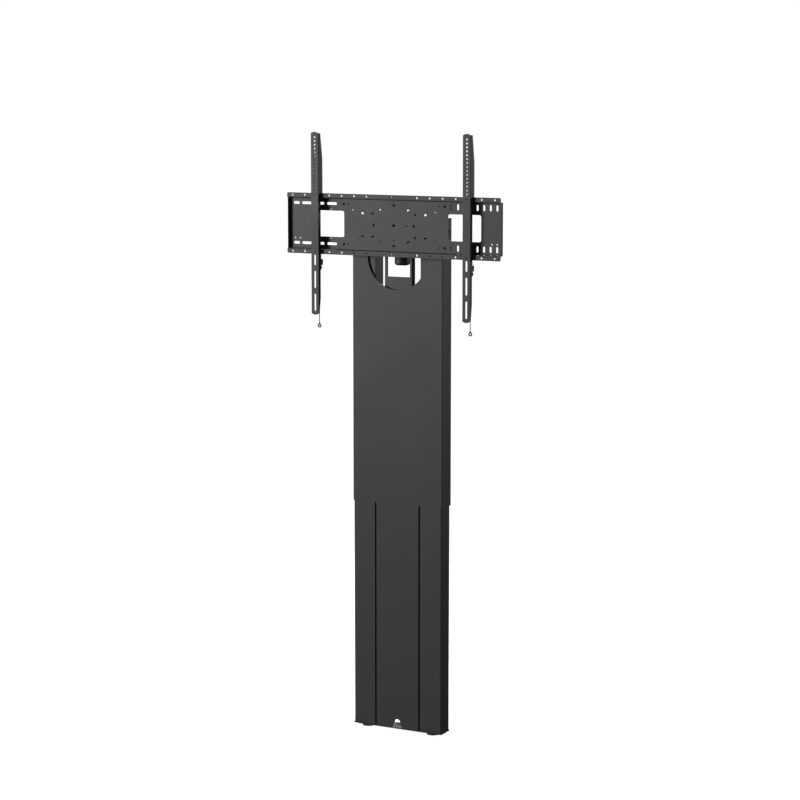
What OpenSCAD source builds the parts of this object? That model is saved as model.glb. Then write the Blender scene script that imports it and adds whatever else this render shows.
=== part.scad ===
// A motorised television stand that stands on two feet and is fixed to the wall behind it.
// A fixed column holds two posts that two spindles raise and lower with the television plate.
// It is drawn fully raised, in millimetres, with the floor at Z = 0 and its front facing -Y.

/* [Lift] */
// Height of the television plate's centre above the floor when fully raised
plate_z = 1826.5; // [1700:0.5:1900]
// Travel of the lift down from the raised position
lift_travel = 650; // [300:10:650]
// Diameter of each lifting spindle
spindle_d = 16; // [12:0.5:18]
// Distance of each spindle and foot from the middle
spindle_x = 131.5; // [125:0.5:136]
// Front to back position of the spindles and feet
spindle_y = 18.5; // [16:0.5:22]
// Height of the spindle nut above the floor
nut_z = 740; // [720:5:780]
// Outside diameter of the spindle nut's flange
nut_flange_d = 35; // [30:0.5:36]
// Running clearance of the spindle in its nut and gearbox, on the radius
run_gap = 0.06; // [0.02:0.01:0.1]
// Outside diameter of the tube that carries each nut
nut_tube_d = 28; // [24:1:32]
// Wall of the tube that carries each nut
nut_tube_t = 2.5; // [2:0.5:3]

/* [Feet and base] */
// Diameter of a foot
foot_d = 46; // [36:1:50]
// Thickness of a foot's pad
foot_pad_h = 6; // [4:0.5:8]
// Height of the base plate's underside above the floor
base_z = 8.5; // [7:0.5:14]
// Thickness of the base plate
base_t = 4; // [3:0.5:6]
// How far the base plate stands out beside the column
base_lip = 3; // [1:0.5:6]
// Depth of the base plate
base_d = 69; // [66:0.5:74]
// Diameter of a foot's threaded stud
stud_d = 10; // [8:1:12]
// Clearance of a stud in the base plate, on the radius
stud_gap = 0.05; // [0.02:0.01:0.1]

/* [Fixed column] */
// Width over both column shells
column_w = 352; // [346:1:354]
// Depth of the column shells
column_d = 65; // [60:0.5:66]
// Height of the top of the column above the floor
column_top = 940; // [860:5:940]
// Sheet thickness of the column shells
shell_t = 2; // [1.5:0.1:2.5]
// Distance from the middle to a shell's inner edge
shell_inner_x = 91.3; // [88:0.1:92]
// Width of the centre panel
panel_w = 172; // [150:0.5:173]
// Sheet thickness of the centre panel
panel_t = 1.5; // [1.2:0.1:2]
// Depth of the centre panel's folded edges
panel_fold = 19.5; // [12:0.5:24]
// Width of the cable notch at the base plate
notch_w = 40; // [30:1:60]
// Height of the cable notch
notch_h = 30; // [24:1:40]
// Width of the cable notch near its rounded top
notch_top_w = 21; // [16:1:28]

/* [Wall brackets] */
// Distance of the wall from the middle of the stand's depth
wall_y = 66.5; // [65:0.5:70]
// Height of the lower wall bracket's centre
bracket_low_z = 150; // [90:5:200]
// Height of the upper wall bracket's centre
bracket_high_z = 890; // [700:5:900]
// Height of a wall bracket
bracket_h = 60; // [40:5:80]
// Distance between the two wall slots of a bracket
wall_slot_pitch = 100; // [60:5:110]
// Width of a wall slot
wall_slot_w = 9; // [7:0.5:11]
// End to end length of a wall slot
wall_slot_len = 26; // [16:1:34]

/* [Moving posts and cover] */
// Distance from the middle to a post's inner face
post_inner_x = 88.8; // [88:0.1:92]
// Distance from the middle to a post's outer face
post_outer_x = 172; // [168:0.5:173]
// Sheet thickness of a post
post_t = 2; // [1.5:0.1:3]
// Height of the posts' lower ends when raised
post_low_z = 690; // [680:5:740]
// Height of the posts' upper ends when raised
post_top_z = 1850; // [1840:1:1853]
// Width of the moving cover
cover_w = 357; // [355:0.5:360]
// Sheet thickness of the moving cover
cover_t = 1.2; // [1:0.1:1.4]
// Height of the cover's lower edge when raised
cover_low_z = 833.5; // [780:0.5:900]
// Height of the cover's upper edge when raised
cover_top_z = 1854; // [1850:0.5:1870]
// Radius of the round bottom of the cover's cut-out
cut_r = 118; // [117:0.5:122]
// Height of the centre of the cut-out's round bottom
cut_z = 1716; // [1712:0.5:1725]
// Depth of the folded lip round the cut-out
cut_lip = 5.8; // [3:0.1:5.8]

/* [Television plate] */
// Width of the television plate
plate_w = 845; // [700:1:900]
// Height over the plate's two flanges
plate_h = 216.4; // [210:0.2:220]
// Height of the plate's pan between the flanges
pan_h = 184; // [176:1:190]
// Depth of the plate from flange to back
pan_d = 18.8; // [14:0.2:22]
// Sheet thickness of the plate
plate_t = 2; // [1.5:0.1:3]
// Distance between the two rows of flange holes
flange_row = 200; // [190:1:206]
// Pitch of the flange holes
flange_pitch = 50; // [25:5:50]
// Diameter of the flange holes
flange_hole_d = 6.5; // [5:0.5:8]
// Height of the plate's two windows
window_h = 92.5; // [60:0.5:110]
// Width of the plate's two windows
window_w = 127; // [80:1:128]
// Corner radius of the windows
window_r = 7; // [3:0.5:12]
// Height of the two rows of slots above and below the plate's centre
slot_row = 71.2; // [66:0.2:76]
// Diameter of the bolts through the plate and its rails
plate_bolt_d = 5; // [4:0.5:8]
// Diameter of the bolts through the plate, its spacers and the carrier
spacer_bolt_d = 4; // [3:0.5:6]
// Clearance of the plate's bolts in their holes, on the radius
bolt_gap = 0.15; // [0.1:0.05:0.4]

/* [Arms] */
// Distance of each arm from the middle
arm_x = 300; // [100:5:400]
// Length of an arm
arm_len = 648; // [500:1:660]
// Width of an arm
arm_w = 31.5; // [28:0.5:34]
// Sheet thickness of an arm
arm_t = 2; // [1.5:0.1:3]
// Depth of an arm where it hangs on the plate
arm_d = 28.5; // [24:0.5:29]
// Diameter of the round holes in an arm
arm_hole_d = 6.6; // [5:0.2:8]
// Pitch of the round holes in an arm
arm_hole_pitch = 13.35; // [12:0.05:14]
// Radius of the arc that ends an arm's face
arm_end_r = 25; // [20:1:60]
// Width of the three slots in an arm
arm_slot_w = 7; // [6:0.5:9]
// Play between an arm's hooks and the plate's flanges
hook_gap = 0.4; // [0.2:0.1:0.8]

/* [Latches and pull cords] */
// Distance a latch is pulled down to free its arm
latch_travel = 12; // [11:0.5:13]
// Diameter of a latch's guide pin
pin_d = 6; // [4:0.5:7]
// Diameter of a pull cord
cord_d = 3; // [2:0.2:3.4]
// Outside width of a pull ring
ring_w = 15; // [12:0.5:18]
// Thickness of a pull ring's bar
ring_bar = 3.6; // [2:0.2:4]
// Wire diameter of a latch spring
spring_wire = 1; // [0.8:0.1:1.2]
// Outside diameter of a latch spring
spring_d = 6.4; // [5:0.2:7]
// Turns of a latch spring
spring_turns = 6; // [4:1:8]

/* [Drive] */
// Diameter of the gear motor
motor_d = 55; // [50:0.5:60]
// Front to back position of the motor's axis
motor_y = 30.5; // [30:0.5:31.5]
// Height of the motor's lower end when raised
motor_low_z = 1684; // [1660:1:1720]
// Rounding of the motor's lower edge
motor_round = 9; // [4:0.5:12]
// Height of the cross shaft when raised
shaft_z = 1822; // [1818:0.5:1824]
// Width across the flats of the hexagonal cross shaft
shaft_af = 10; // [8:0.5:10]
// Clearance round the cross shaft's corners
shaft_gap = 0.25; // [0.2:0.05:0.5]

/* [Hidden] */
$fn = 48;
e = 0.01;
front_y = 57.5 - column_d;
base_top = base_z + base_t;
shell_x = column_w / 2;
panel_x = panel_w / 2;
cover_x = cover_w / 2;
cover_front = -9.3;
cover_back = 62.5;
post_front = -2.5;
post_back = 54.5;
carrier_t = 8;
carrier_front = post_front - carrier_t;
plate_front = -51.5;
plate_back = plate_front + pan_d;
web_front = plate_back - plate_t;
rail_d = carrier_front - plate_back;
arm_front = -66.5;
hook_y = plate_front + plate_t + hook_gap;
shaft_r = shaft_af / 2 / cos(30);
motor_r = motor_d / 2;
head_low = post_top_z - 60;
head_top = post_top_z;
spacer_at = [[-84.4, 40.5], [84.4, 40.5], [-84.4, -40.5], [84.4, -40.5]];
rail_bolt_x = [-200, 0, 200];
// a share of the plate's width, 5 mm on the real one
px = plate_w / 169;
flange_last = floor((plate_w / 2 - 15) / flange_pitch);
rail_h = 28;
cover_screw_z = post_top_z - 42.4;
cover_screw_y = [7.5, 43.7];
// points of a pull cord from the latch down to its ring, from the arm's middle and the plate's centre
latch_x = 7;
cord_y = -48;
cord_end = -353;
cord_route = [[latch_x, cord_y, -175], [latch_x, cord_y, -200], [latch_x, cord_y, -250],
    [latch_x, cord_y, -300], [latch_x, cord_y, cord_end]];
cord_step = 5;
ring_z = -364;
spring_top = -148.5;
spring_low = -175;
spring_y = -59.5;

black = [0.16, 0.16, 0.17];
dark = [0.09, 0.09, 0.10];
steel = [0.62, 0.63, 0.65];
alloy = [0.55, 0.56, 0.58];
brass = [0.72, 0.60, 0.32];
pale = [0.75, 0.75, 0.72];

// a rectangle between two corners with rounded corners
module rounded2(x0, y0, x1, y1, r) {
    translate([x0 + r, y0])
        square([x1 - x0 - 2 * r, y1 - y0]);
    translate([x0, y0 + r])
        square([x1 - x0, y1 - y0 - 2 * r]);
    for (x = [x0 + r, x1 - r])
        for (y = [y0 + r, y1 - r])
            translate([x, y])
                circle(r);
}

// a slot with round ends, centred, along its first axis
module slot2(len, wid) {
    square([len - wid, wid], center = true);
    for (s = [-1, 1])
        translate([s * (len - wid) / 2, 0])
            circle(d = wid);
}

// raises a drawing of X and Z into a plate that starts at y and is t thick
module facing(y, t) {
    translate([0, y + t, 0])
        rotate([90, 0, 0])
            linear_extrude(t)
                children();
}

// raises a drawing of Y and Z along X from x0 to x1
module sideways(x0, x1) {
    translate([x0, 0, 0])
        rotate([90, 0, 90])
            linear_extrude(x1 - x0)
                children();
}

// a box between two corners
module box(a, b) {
    translate(a)
        cube([b[0] - a[0], b[1] - a[1], b[2] - a[2]]);
}

// a cylinder along X from x0 to x1
module rod_x(x0, x1, y, z, r) {
    translate([x0, y, z])
        rotate([0, 90, 0])
            cylinder(r = r, h = x1 - x0);
}

// a cylinder along Y from y0 to y1
module rod_y(y0, y1, x, z, r) {
    translate([x, y1, z])
        rotate([90, 0, 0])
            cylinder(r = r, h = y1 - y0);
}

// the same piece on the other side
module left_side() {
    mirror([1, 0, 0])
        children();
}

// a quarter of a bent sheet's ring, from angle a to a + 90
module bend2(x, y, r_out, t, a) {
    translate([x, y])
        rotate(a)
            intersection() {
                difference() {
                    circle(r_out);
                    circle(r_out - t);
                }
                square(r_out);
            }
}

// a button head with a hexagon socket that faces -Y, its underside at y
module button_head(x, y, z, r, h, socket) {
    difference() {
        translate([x, y, z])
            rotate([90, 0, 0])
                rotate_extrude()
                    intersection() {
                        square([r, h]);
                        translate([0, h - r * 1.25])
                            circle(r * 1.25);
                    }
        translate([x, y - h * 0.4, z])
            rotate([90, 0, 0])
                cylinder(d = socket / cos(30), h = h, $fn = 6);
    }
}

module foot_pad() {
    color(dark)
        translate([spindle_x, spindle_y, 0])
            rotate_extrude() {
                square([foot_d / 2 - 1.5, foot_pad_h]);
                translate([0, 1.5])
                    square([foot_d / 2, foot_pad_h - 3]);
                for (z = [1.5, foot_pad_h - 1.5])
                    translate([foot_d / 2 - 1.5, z])
                        circle(1.5);
            }
}

module foot_pad_right() foot_pad();

module foot_pad_left() left_side() foot_pad();

module foot_stud() {
    color(steel)
        translate([spindle_x, spindle_y, foot_pad_h]) {
            cylinder(d = stud_d, h = 34 - foot_pad_h);
            cylinder(d = stud_d + 6, h = 1.2);
        }
}

module foot_stud_right() foot_stud();

module foot_stud_left() left_side() foot_stud();

// lock nuts that sit on the base plate round the studs
module foot_nuts() {
    color(steel)
        for (s = [-1, 1])
            translate([s * spindle_x, spindle_y, base_top])
                difference() {
                    cylinder(d = 17 / cos(30), h = 8, $fn = 6);
                    translate([0, 0, -1])
                        cylinder(r = stud_d / 2 + stud_gap, h = 10);
                }
}

base_screw_at = [[shell_x - 13, 6], [shell_x - 13, 40]];

module base_plate() {
    color(dark)
        difference() {
            translate([0, 0, base_z])
                linear_extrude(base_t)
                    rounded2(-shell_x - base_lip, 58.5 - base_d, shell_x + base_lip, 58.5, 3);
            for (s = [-1, 1]) {
                translate([s * spindle_x, spindle_y, 0])
                    cylinder(r = stud_d / 2 + stud_gap, h = 20);
                for (p = base_screw_at)
                    translate([s * p[0], p[1], base_z - e]) {
                        cylinder(r = 2.65, h = 10);
                        cylinder(r1 = 4.8, r2 = 2.65, h = 2.2);
                    }
            }
            translate([0, 34, 0])
                linear_extrude(20)
                    slot2(60, 18);
        }
}

module base_screws() {
    color(steel)
        for (s = [-1, 1])
            for (p = base_screw_at)
                translate([s * p[0], p[1], base_z]) {
                    difference() {
                        cylinder(r1 = 4.75, r2 = 2.5, h = 2.25);
                        translate([0, 0, -1])
                            cylinder(d = 3 / cos(30), h = 2, $fn = 6);
                    }
                    translate([0, 0, 2])
                        cylinder(r = 2.5, h = 7);
                }
}

// outline of the right shell seen from above, open towards the middle
module shell2() {
    difference() {
        rounded2(shell_inner_x - 20, front_y, shell_x, 57.5, 2.5);
        rounded2(shell_inner_x - 30, front_y + shell_t, shell_x - shell_t, 57.5 - shell_t, 0.6);
        translate([shell_inner_x - 40, front_y - 1])
            square([40, column_d + 2]);
    }
}

module column_shell() {
    color(black)
        difference() {
            union() {
                translate([0, 0, base_top])
                    linear_extrude(column_top - base_top)
                        shell2();
                box([shell_x - 23, front_y + shell_t - e, base_top], [shell_x - shell_t + e, 55.5 + e, base_top + shell_t]);
            }
            for (p = base_screw_at)
                translate([p[0], p[1], 0])
                    cylinder(r = 2.65, h = 30);
            for (z = [bracket_low_z, bracket_high_z])
                for (x = [112, 150])
                    for (s = [-1, 1])
                        rod_y(50, 60, x, z + s * bracket_h / 4, 3.1);
        }
}

module column_right() column_shell();

module column_left() left_side() column_shell();

// the bell shaped cable notch, drawn in X and Z
module notch2() {
    r = notch_top_w / 2;
    translate([0, base_top + notch_h - r])
        circle(r);
    polygon([[-notch_w / 2, base_top - 1], [notch_w / 2, base_top - 1],
        [r, base_top + notch_h - r], [-r, base_top + notch_h - r]]);
}

module centre_panel() {
    color(black)
        difference() {
            translate([0, 0, base_top])
                linear_extrude(column_top - base_top)
                    difference() {
                        rounded2(-panel_x, front_y, panel_x, front_y + 60, 2);
                        rounded2(-panel_x + panel_t, front_y + panel_t, panel_x - panel_t, front_y + 90, 0.5);
                        translate([-100, front_y + panel_fold])
                            square([200, 90]);
                    }
            facing(front_y - 5, 20)
                notch2();
        }
}

module centre_frame(z0, z1) {
    color(dark)
        translate([0, 0, z0])
            linear_extrude(z1 - z0)
                difference() {
                    rounded2(-panel_x + panel_t, front_y + panel_t, panel_x - panel_t, 57.5, 2);
                    rounded2(-panel_x + panel_t + 2, front_y - 20, panel_x - panel_t - 2, 55.5, 1);
                    translate([-100, front_y - 30])
                        square([200, 30 + panel_t]);
                }
}

module centre_frame_lower() {
    difference() {
        centre_frame(60, 260);
        color(dark)
            facing(50, 10)
                for (x = [-50, 50])
                    for (z = [82, 236])
                        translate([x, z])
                            circle(2.2);
    }
}

module centre_frame_upper() centre_frame(column_top - 95, column_top - 35);

// the column's wall bracket, a hat section seen from above
module wall_bracket(z) {
    color(black)
        difference() {
            translate([0, 0, z - bracket_h / 2])
                linear_extrude(bracket_h)
                    polygon([[-165, 57.5], [-73, 57.5], [-73, wall_y - 2.5], [73, wall_y - 2.5],
                        [73, 57.5], [165, 57.5], [165, 60], [75.5, 60], [75.5, wall_y],
                        [-75.5, wall_y], [-75.5, 60], [-165, 60]]);
            for (x = [-150, -112, 112, 150])
                for (s = [-1, 1])
                    rod_y(50, 70, x, z + s * bracket_h / 4, 3.1);
            facing(50, 30)
                for (s = [-1, 1])
                    translate([s * wall_slot_pitch / 2, z])
                        slot2(wall_slot_len, wall_slot_w);
        }
}

module wall_bracket_lower() wall_bracket(bracket_low_z);

module wall_bracket_upper() wall_bracket(bracket_high_z);

module bracket_bolts() {
    color(steel)
        for (z = [bracket_low_z, bracket_high_z])
            for (x = [-150, -112, 112, 150])
                for (s = [-1, 1]) {
                    rod_y(55.5, 60 + e, x, z + s * bracket_h / 4, 3);
                    translate([x, 64, z + s * bracket_h / 4])
                        rotate([90, 0, 0])
                            cylinder(d = 10 / cos(30), h = 4, $fn = 6);
                }
}

module nut_tube() {
    color(steel)
        translate([spindle_x, spindle_y, base_top])
            difference() {
                union() {
                    cylinder(d = nut_tube_d, h = nut_z - base_top);
                    cylinder(d = 40, h = 5);
                }
                translate([0, 0, -1])
                    cylinder(d = nut_tube_d - 2 * nut_tube_t, h = nut_z);
            }
}

module nut_tube_right() nut_tube();

module nut_tube_left() left_side() nut_tube();

module spindle_nut() {
    color(brass)
        translate([spindle_x, spindle_y, nut_z])
            difference() {
                union() {
                    cylinder(d = nut_flange_d, h = 6);
                    cylinder(d = nut_flange_d - 8, h = 35);
                }
                translate([0, 0, -1])
                    cylinder(r = spindle_d / 2 + run_gap, h = 40);
                for (a = [0:90:270])
                    rotate(a + 45)
                        translate([nut_flange_d / 2 - 2.2, 0, -1])
                            cylinder(r = 1.2, h = 8);
            }
}

module spindle_nut_right() spindle_nut();

module spindle_nut_left() left_side() spindle_nut();

// pads inside the top of a shell that guide the post's front, side and back
module column_glides() {
    color(pale)
        for (z = [column_top - 45, column_top - 165]) {
            box([105, front_y + shell_t, z], [160, post_front - 0.1, z + 40]);
            box([post_outer_x + 0.1, 6, z], [shell_x - shell_t, 46, z + 40]);
            box([105, post_back + 0.1, z], [160, 57.5 - shell_t, z + 40]);
        }
}

module column_glides_right() column_glides();

module column_glides_left() left_side() column_glides();

module control_box() {
    color(dark)
        difference() {
            union() {
                translate([0, 0, 90])
                    linear_extrude(160)
                        rounded2(-65, 20, 65, 55.5, 4);
                for (z = [80, 230])
                    facing(53.5, 2)
                        rounded2(-58, z - 8 + 4, 58, z + 8 + 4, 3);
            }
            box([19, 25, 89], [51, 51, 96]);
            for (x = [-48:8:-16])
                facing(18, 3)
                    translate([x, 170])
                        rotate(90)
                            slot2(60, 3);
        }
}

// the mains inlet under the control box, with three flat pins
module power_inlet() {
    color(dark)
        difference() {
            box([19.2, 25.2, 86], [50.8, 50.8, 96]);
            translate([0, 0, 80])
                linear_extrude(14)
                    rounded2(23, 29, 47, 47, 3);
        }
    color(steel)
        for (p = [[29, 36], [41, 36], [35, 42]])
            box([p[0] - 1, p[1] - 2, 91], [p[0] + 1, p[1] + 2, 94.5]);
}

// outline of the right post seen from above, open at its back
module post2() {
    difference() {
        rounded2(post_inner_x, post_front, post_outer_x, post_back, 2);
        rounded2(post_inner_x + post_t, post_front + post_t, post_outer_x - post_t,
            post_back - post_t, 0.5);
        translate([post_inner_x + 16, post_back - 10])
            square([post_outer_x - post_inner_x - 32, 20]);
    }
}

carrier_bolt_z = [post_top_z - 68, post_top_z - 39, post_top_z - 10];

module post() {
    color(black)
        difference() {
            translate([0, 0, post_low_z])
                linear_extrude(post_top_z - post_low_z)
                    post2();
            rod_x(post_inner_x - 5, post_inner_x + 10, spindle_y, shaft_z, 9);
            for (z = carrier_bolt_z)
                rod_y(-10, 5, 106, z, 3.15);
            for (y = cover_screw_y)
                rod_x(post_outer_x - 5, post_outer_x + 5, y, cover_screw_z, 2.1);
        }
}

module post_right() post();

module post_left() left_side() post();

// pads on the lower end of a post that run inside the shell
module post_glides() {
    color(pale) {
        box([105, front_y + shell_t + 0.1, post_low_z], [160, post_front, post_low_z + 40]);
        box([post_outer_x, 6, post_low_z], [shell_x - shell_t - 0.1, 46, post_low_z + 40]);
        for (x = [post_inner_x + 2, post_outer_x - 15])
            box([x, post_back, post_low_z], [x + 13, 57.5 - shell_t - 0.1, post_low_z + 40]);
    }
}

module post_glides_right() post_glides();

module post_glides_left() left_side() post_glides();

module cut_outline2(r) {
    translate([0, cut_z])
        circle(r);
    translate([-r, cut_z])
        square([2 * r, 300]);
}

module upper_cover() {
    color(black)
        difference() {
            union() {
                translate([0, 0, cover_low_z])
                    linear_extrude(cover_top_z - cover_low_z)
                        difference() {
                            rounded2(-cover_x, cover_front, cover_x, cover_back, 2);
                            rounded2(-cover_x + cover_t, cover_front + cover_t, cover_x - cover_t,
                                cover_back - cover_t, 0.8);
                            translate([-cover_x + 10, 40])
                                square([cover_w - 20, 40]);
                        }
                intersection() {
                    facing(cover_front + e, cut_lip - e)
                        cut_outline2(cut_r + cover_t);
                    box([-200, -50, 1500], [200, 50, cover_top_z]);
                }
            }
            facing(cover_front - 20, 40)
                cut_outline2(cut_r);
            for (s = [-1, 1])
                for (y = cover_screw_y)
                    rod_x(s * cover_x - 5, s * cover_x + 5, y, cover_screw_z, 2.1);
        }
}

module cover_spacers() {
    color(steel)
        for (s = [0, 1])
            mirror([s, 0, 0])
                for (y = cover_screw_y)
                    difference() {
                        rod_x(post_outer_x, cover_x - cover_t, y, cover_screw_z, 5);
                        rod_x(post_outer_x - 1, cover_x + 1, y, cover_screw_z, 2.1);
                    }
}

module cover_screws() {
    color(dark)
        for (s = [0, 1])
            mirror([s, 0, 0])
                for (y = cover_screw_y) {
                    rod_x(post_outer_x - post_t - 3, cover_x + e, y, cover_screw_z, 2);
                    difference() {
                        rod_x(cover_x, cover_x + 1.8, y, cover_screw_z, 4);
                        translate([cover_x + 0.8, y, cover_screw_z])
                            rotate([0, 90, 0])
                                cylinder(d = 2.5 / cos(30), h = 2, $fn = 6);
                    }
                }
}

module head_beam() {
    color(black)
        difference() {
            union() {
                box([-post_inner_x, post_front, head_top - 4], [post_inner_x, post_back, head_top]);
                for (s = [-1, 1])
                    box([s > 0 ? post_inner_x - 4 : -post_inner_x, post_front, head_low],
                        [s > 0 ? post_inner_x : 4 - post_inner_x, post_back, head_top]);
            }
            rod_x(-100, 100, spindle_y, shaft_z, shaft_r + shaft_gap);
            translate([0, motor_y, head_top - 10])
                linear_extrude(20)
                    for (s = [-1, 1])
                        translate([s * 64, 0])
                            rotate(90)
                                slot2(34, 14);
        }
}

mast_x = 55.2;
mast_front = 0.5;
mast_d = 22;
mast_t = 2.5;
mast_low = post_top_z - 290;

module mast_channel() {
    color(black)
        difference() {
            translate([0, 0, mast_low])
                linear_extrude(head_top - 4 - mast_low)
                    difference() {
                        rounded2(-mast_x, mast_front, mast_x, mast_front + 40, 2.5);
                        rounded2(-mast_x + mast_t, mast_front + mast_t, mast_x - mast_t,
                            mast_front + 60, 0.5);
                        translate([-60, mast_front + mast_d])
                            square([120, 60]);
                    }
            facing(mast_front - 5, mast_t + 5.5)
                rounded2(-46, mast_low + 85, 46, head_low, 4);
            rod_x(-60, 60, spindle_y, shaft_z, 8);
        }
}

module gear_housing() {
    color(alloy)
        difference() {
            union() {
                translate([0, 0, head_low])
                    linear_extrude(head_top - 4 - head_low)
                        rounded2(-34, mast_front + mast_t, 34, 54, 5);
                rod_x(-42, 42, spindle_y, shaft_z, 14);
            }
            rod_x(-50, 50, spindle_y, shaft_z, shaft_r + shaft_gap);
            for (x = [-27, 27])
                for (z = [head_low + 7, head_top - 11])
                    rod_y(51, 60, x, z, 2.4);
        }
}

module motor() {
    color(dark)
        translate([0, motor_y, motor_low_z])
            rotate_extrude()
                difference() {
                    union() {
                        square([motor_r - motor_round, head_low - motor_low_z]);
                        translate([0, motor_round])
                            square([motor_r, head_low - motor_low_z - motor_round]);
                        translate([motor_r - motor_round, motor_round])
                            circle(motor_round);
                    }
                    translate([motor_r - 0.6, 66])
                        square([2, 1.2]);
                    translate([-50, -50])
                        square([50, 300]);
                }
}

module bevel_box() {
    color(alloy)
        difference() {
            union() {
                translate([0, 0, shaft_z - 26])
                    linear_extrude(52)
                        rounded2(97, post_front + post_t, 157, 37.5, 4);
                rod_x(post_inner_x + post_t, 98, spindle_y, shaft_z, 12);
            }
            rod_x(90, 113, spindle_y, shaft_z, shaft_r + shaft_gap);
            translate([spindle_x, spindle_y, shaft_z - 32])
                cylinder(r = spindle_d / 2 + run_gap, h = 24);
            for (i = [1, 2])
                rod_y(-5, 9, 106, carrier_bolt_z[i], 3);
        }
}

module bevel_box_right() bevel_box();

module bevel_box_left() left_side() bevel_box();

module spindle() {
    color(steel)
        translate([spindle_x, spindle_y, 0]) {
            translate([0, 0, nut_z - 38])
                cylinder(d = spindle_d, h = shaft_z - 10 - nut_z + 38);
            translate([0, 0, nut_z - 40])
                cylinder(d1 = spindle_d - 3, d2 = spindle_d, h = 2);
            translate([0, 0, shaft_z - 34])
                cylinder(d = 26, h = 7.7);
        }
}

module spindle_right() spindle();

module spindle_left() left_side() spindle();

module drive_shaft() {
    color(steel)
        translate([-111, spindle_y, shaft_z])
            rotate([0, 90, 0])
                cylinder(r = shaft_r, h = 222, $fn = 6);
}

module carrier() {
    color(black)
        difference() {
            facing(carrier_front, carrier_t) {
                rounded2(-116, plate_z - 90, 116, post_top_z, 4);
                for (s = [-1, 1])
                    translate([s * 87, plate_z + 43.5])
                        square([26, 87], center = true);
            }
            for (p = spacer_at)
                rod_y(-20, 0, p[0], plate_z + p[1], spacer_bolt_d / 2 + bolt_gap);
            for (x = [-106, 106])
                for (z = carrier_bolt_z)
                    rod_y(-20, 0, x, z, 3.15);
        }
}

module carrier_bolts() {
    color(steel)
        for (x = [-106, 106])
            for (z = carrier_bolt_z) {
                rod_y(carrier_front - e, 7, x, z, 3);
                button_head(x, carrier_front, z, 6, 3.6, 4);
            }
}

module rail(z) {
    color(black)
        difference() {
            sideways(-229.5, 229.5)
                difference() {
                    rounded2(plate_back, z - rail_h / 2, plate_back + 60, z + rail_h / 2, 2.5);
                    rounded2(plate_back + 2.5, z - rail_h / 2 + 2.5, plate_back + 80,
                        z + rail_h / 2 - 2.5, 0.5);
                    translate([carrier_front, z - 50])
                        square([100, 100]);
                }
            for (x = rail_bolt_x)
                rod_y(plate_back - 5, plate_back + 5, x, z, plate_bolt_d / 2 + bolt_gap);
        }
}

module rail_upper() rail(plate_z + slot_row);

module rail_lower() rail(plate_z - slot_row);

module plate_spacers() {
    color(steel)
        for (p = spacer_at)
            difference() {
                rod_y(plate_back, carrier_front, p[0], plate_z + p[1], 7.5);
                rod_y(plate_back - 1, carrier_front + 1, p[0], plate_z + p[1], spacer_bolt_d / 2 + bolt_gap);
            }
}

module plate_bolts() {
    color(dark) {
        for (x = rail_bolt_x)
            for (s = [-1, 1]) {
                button_head(x, web_front, plate_z + s * slot_row, plate_bolt_d * 0.92, 2.6, 3);
                rod_y(web_front - e, plate_back + 8.5, x, plate_z + s * slot_row, plate_bolt_d / 2);
                translate([x, plate_back + 2.5 + plate_bolt_d * 0.8, plate_z + s * slot_row])
                    rotate([90, 0, 0])
                        cylinder(d = plate_bolt_d * 1.6 / cos(30), h = plate_bolt_d * 0.8, $fn = 6);
            }
        for (p = spacer_at) {
            button_head(p[0], web_front, plate_z + p[1], spacer_bolt_d * 0.95, 2.2, 2.5);
            rod_y(web_front - e, post_front, p[0], plate_z + p[1], spacer_bolt_d / 2);
        }
    }
}

// half of the plate's section, above its centre
module pan_section2() {
    wall_z = pan_h / 2;
    translate([plate_front, wall_z - plate_t + 3])
        square([plate_t, plate_h / 2 - wall_z + plate_t - 3]);
    bend2(plate_front + 3, wall_z - plate_t + 3, 3, plate_t, 180);
    translate([plate_front + 3, wall_z - plate_t])
        square([pan_d - 6, plate_t]);
    bend2(plate_back - 3, wall_z - 3, 3, plate_t, 0);
    translate([web_front, -e])
        square([plate_t, wall_z - 3 + e]);
}

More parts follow.
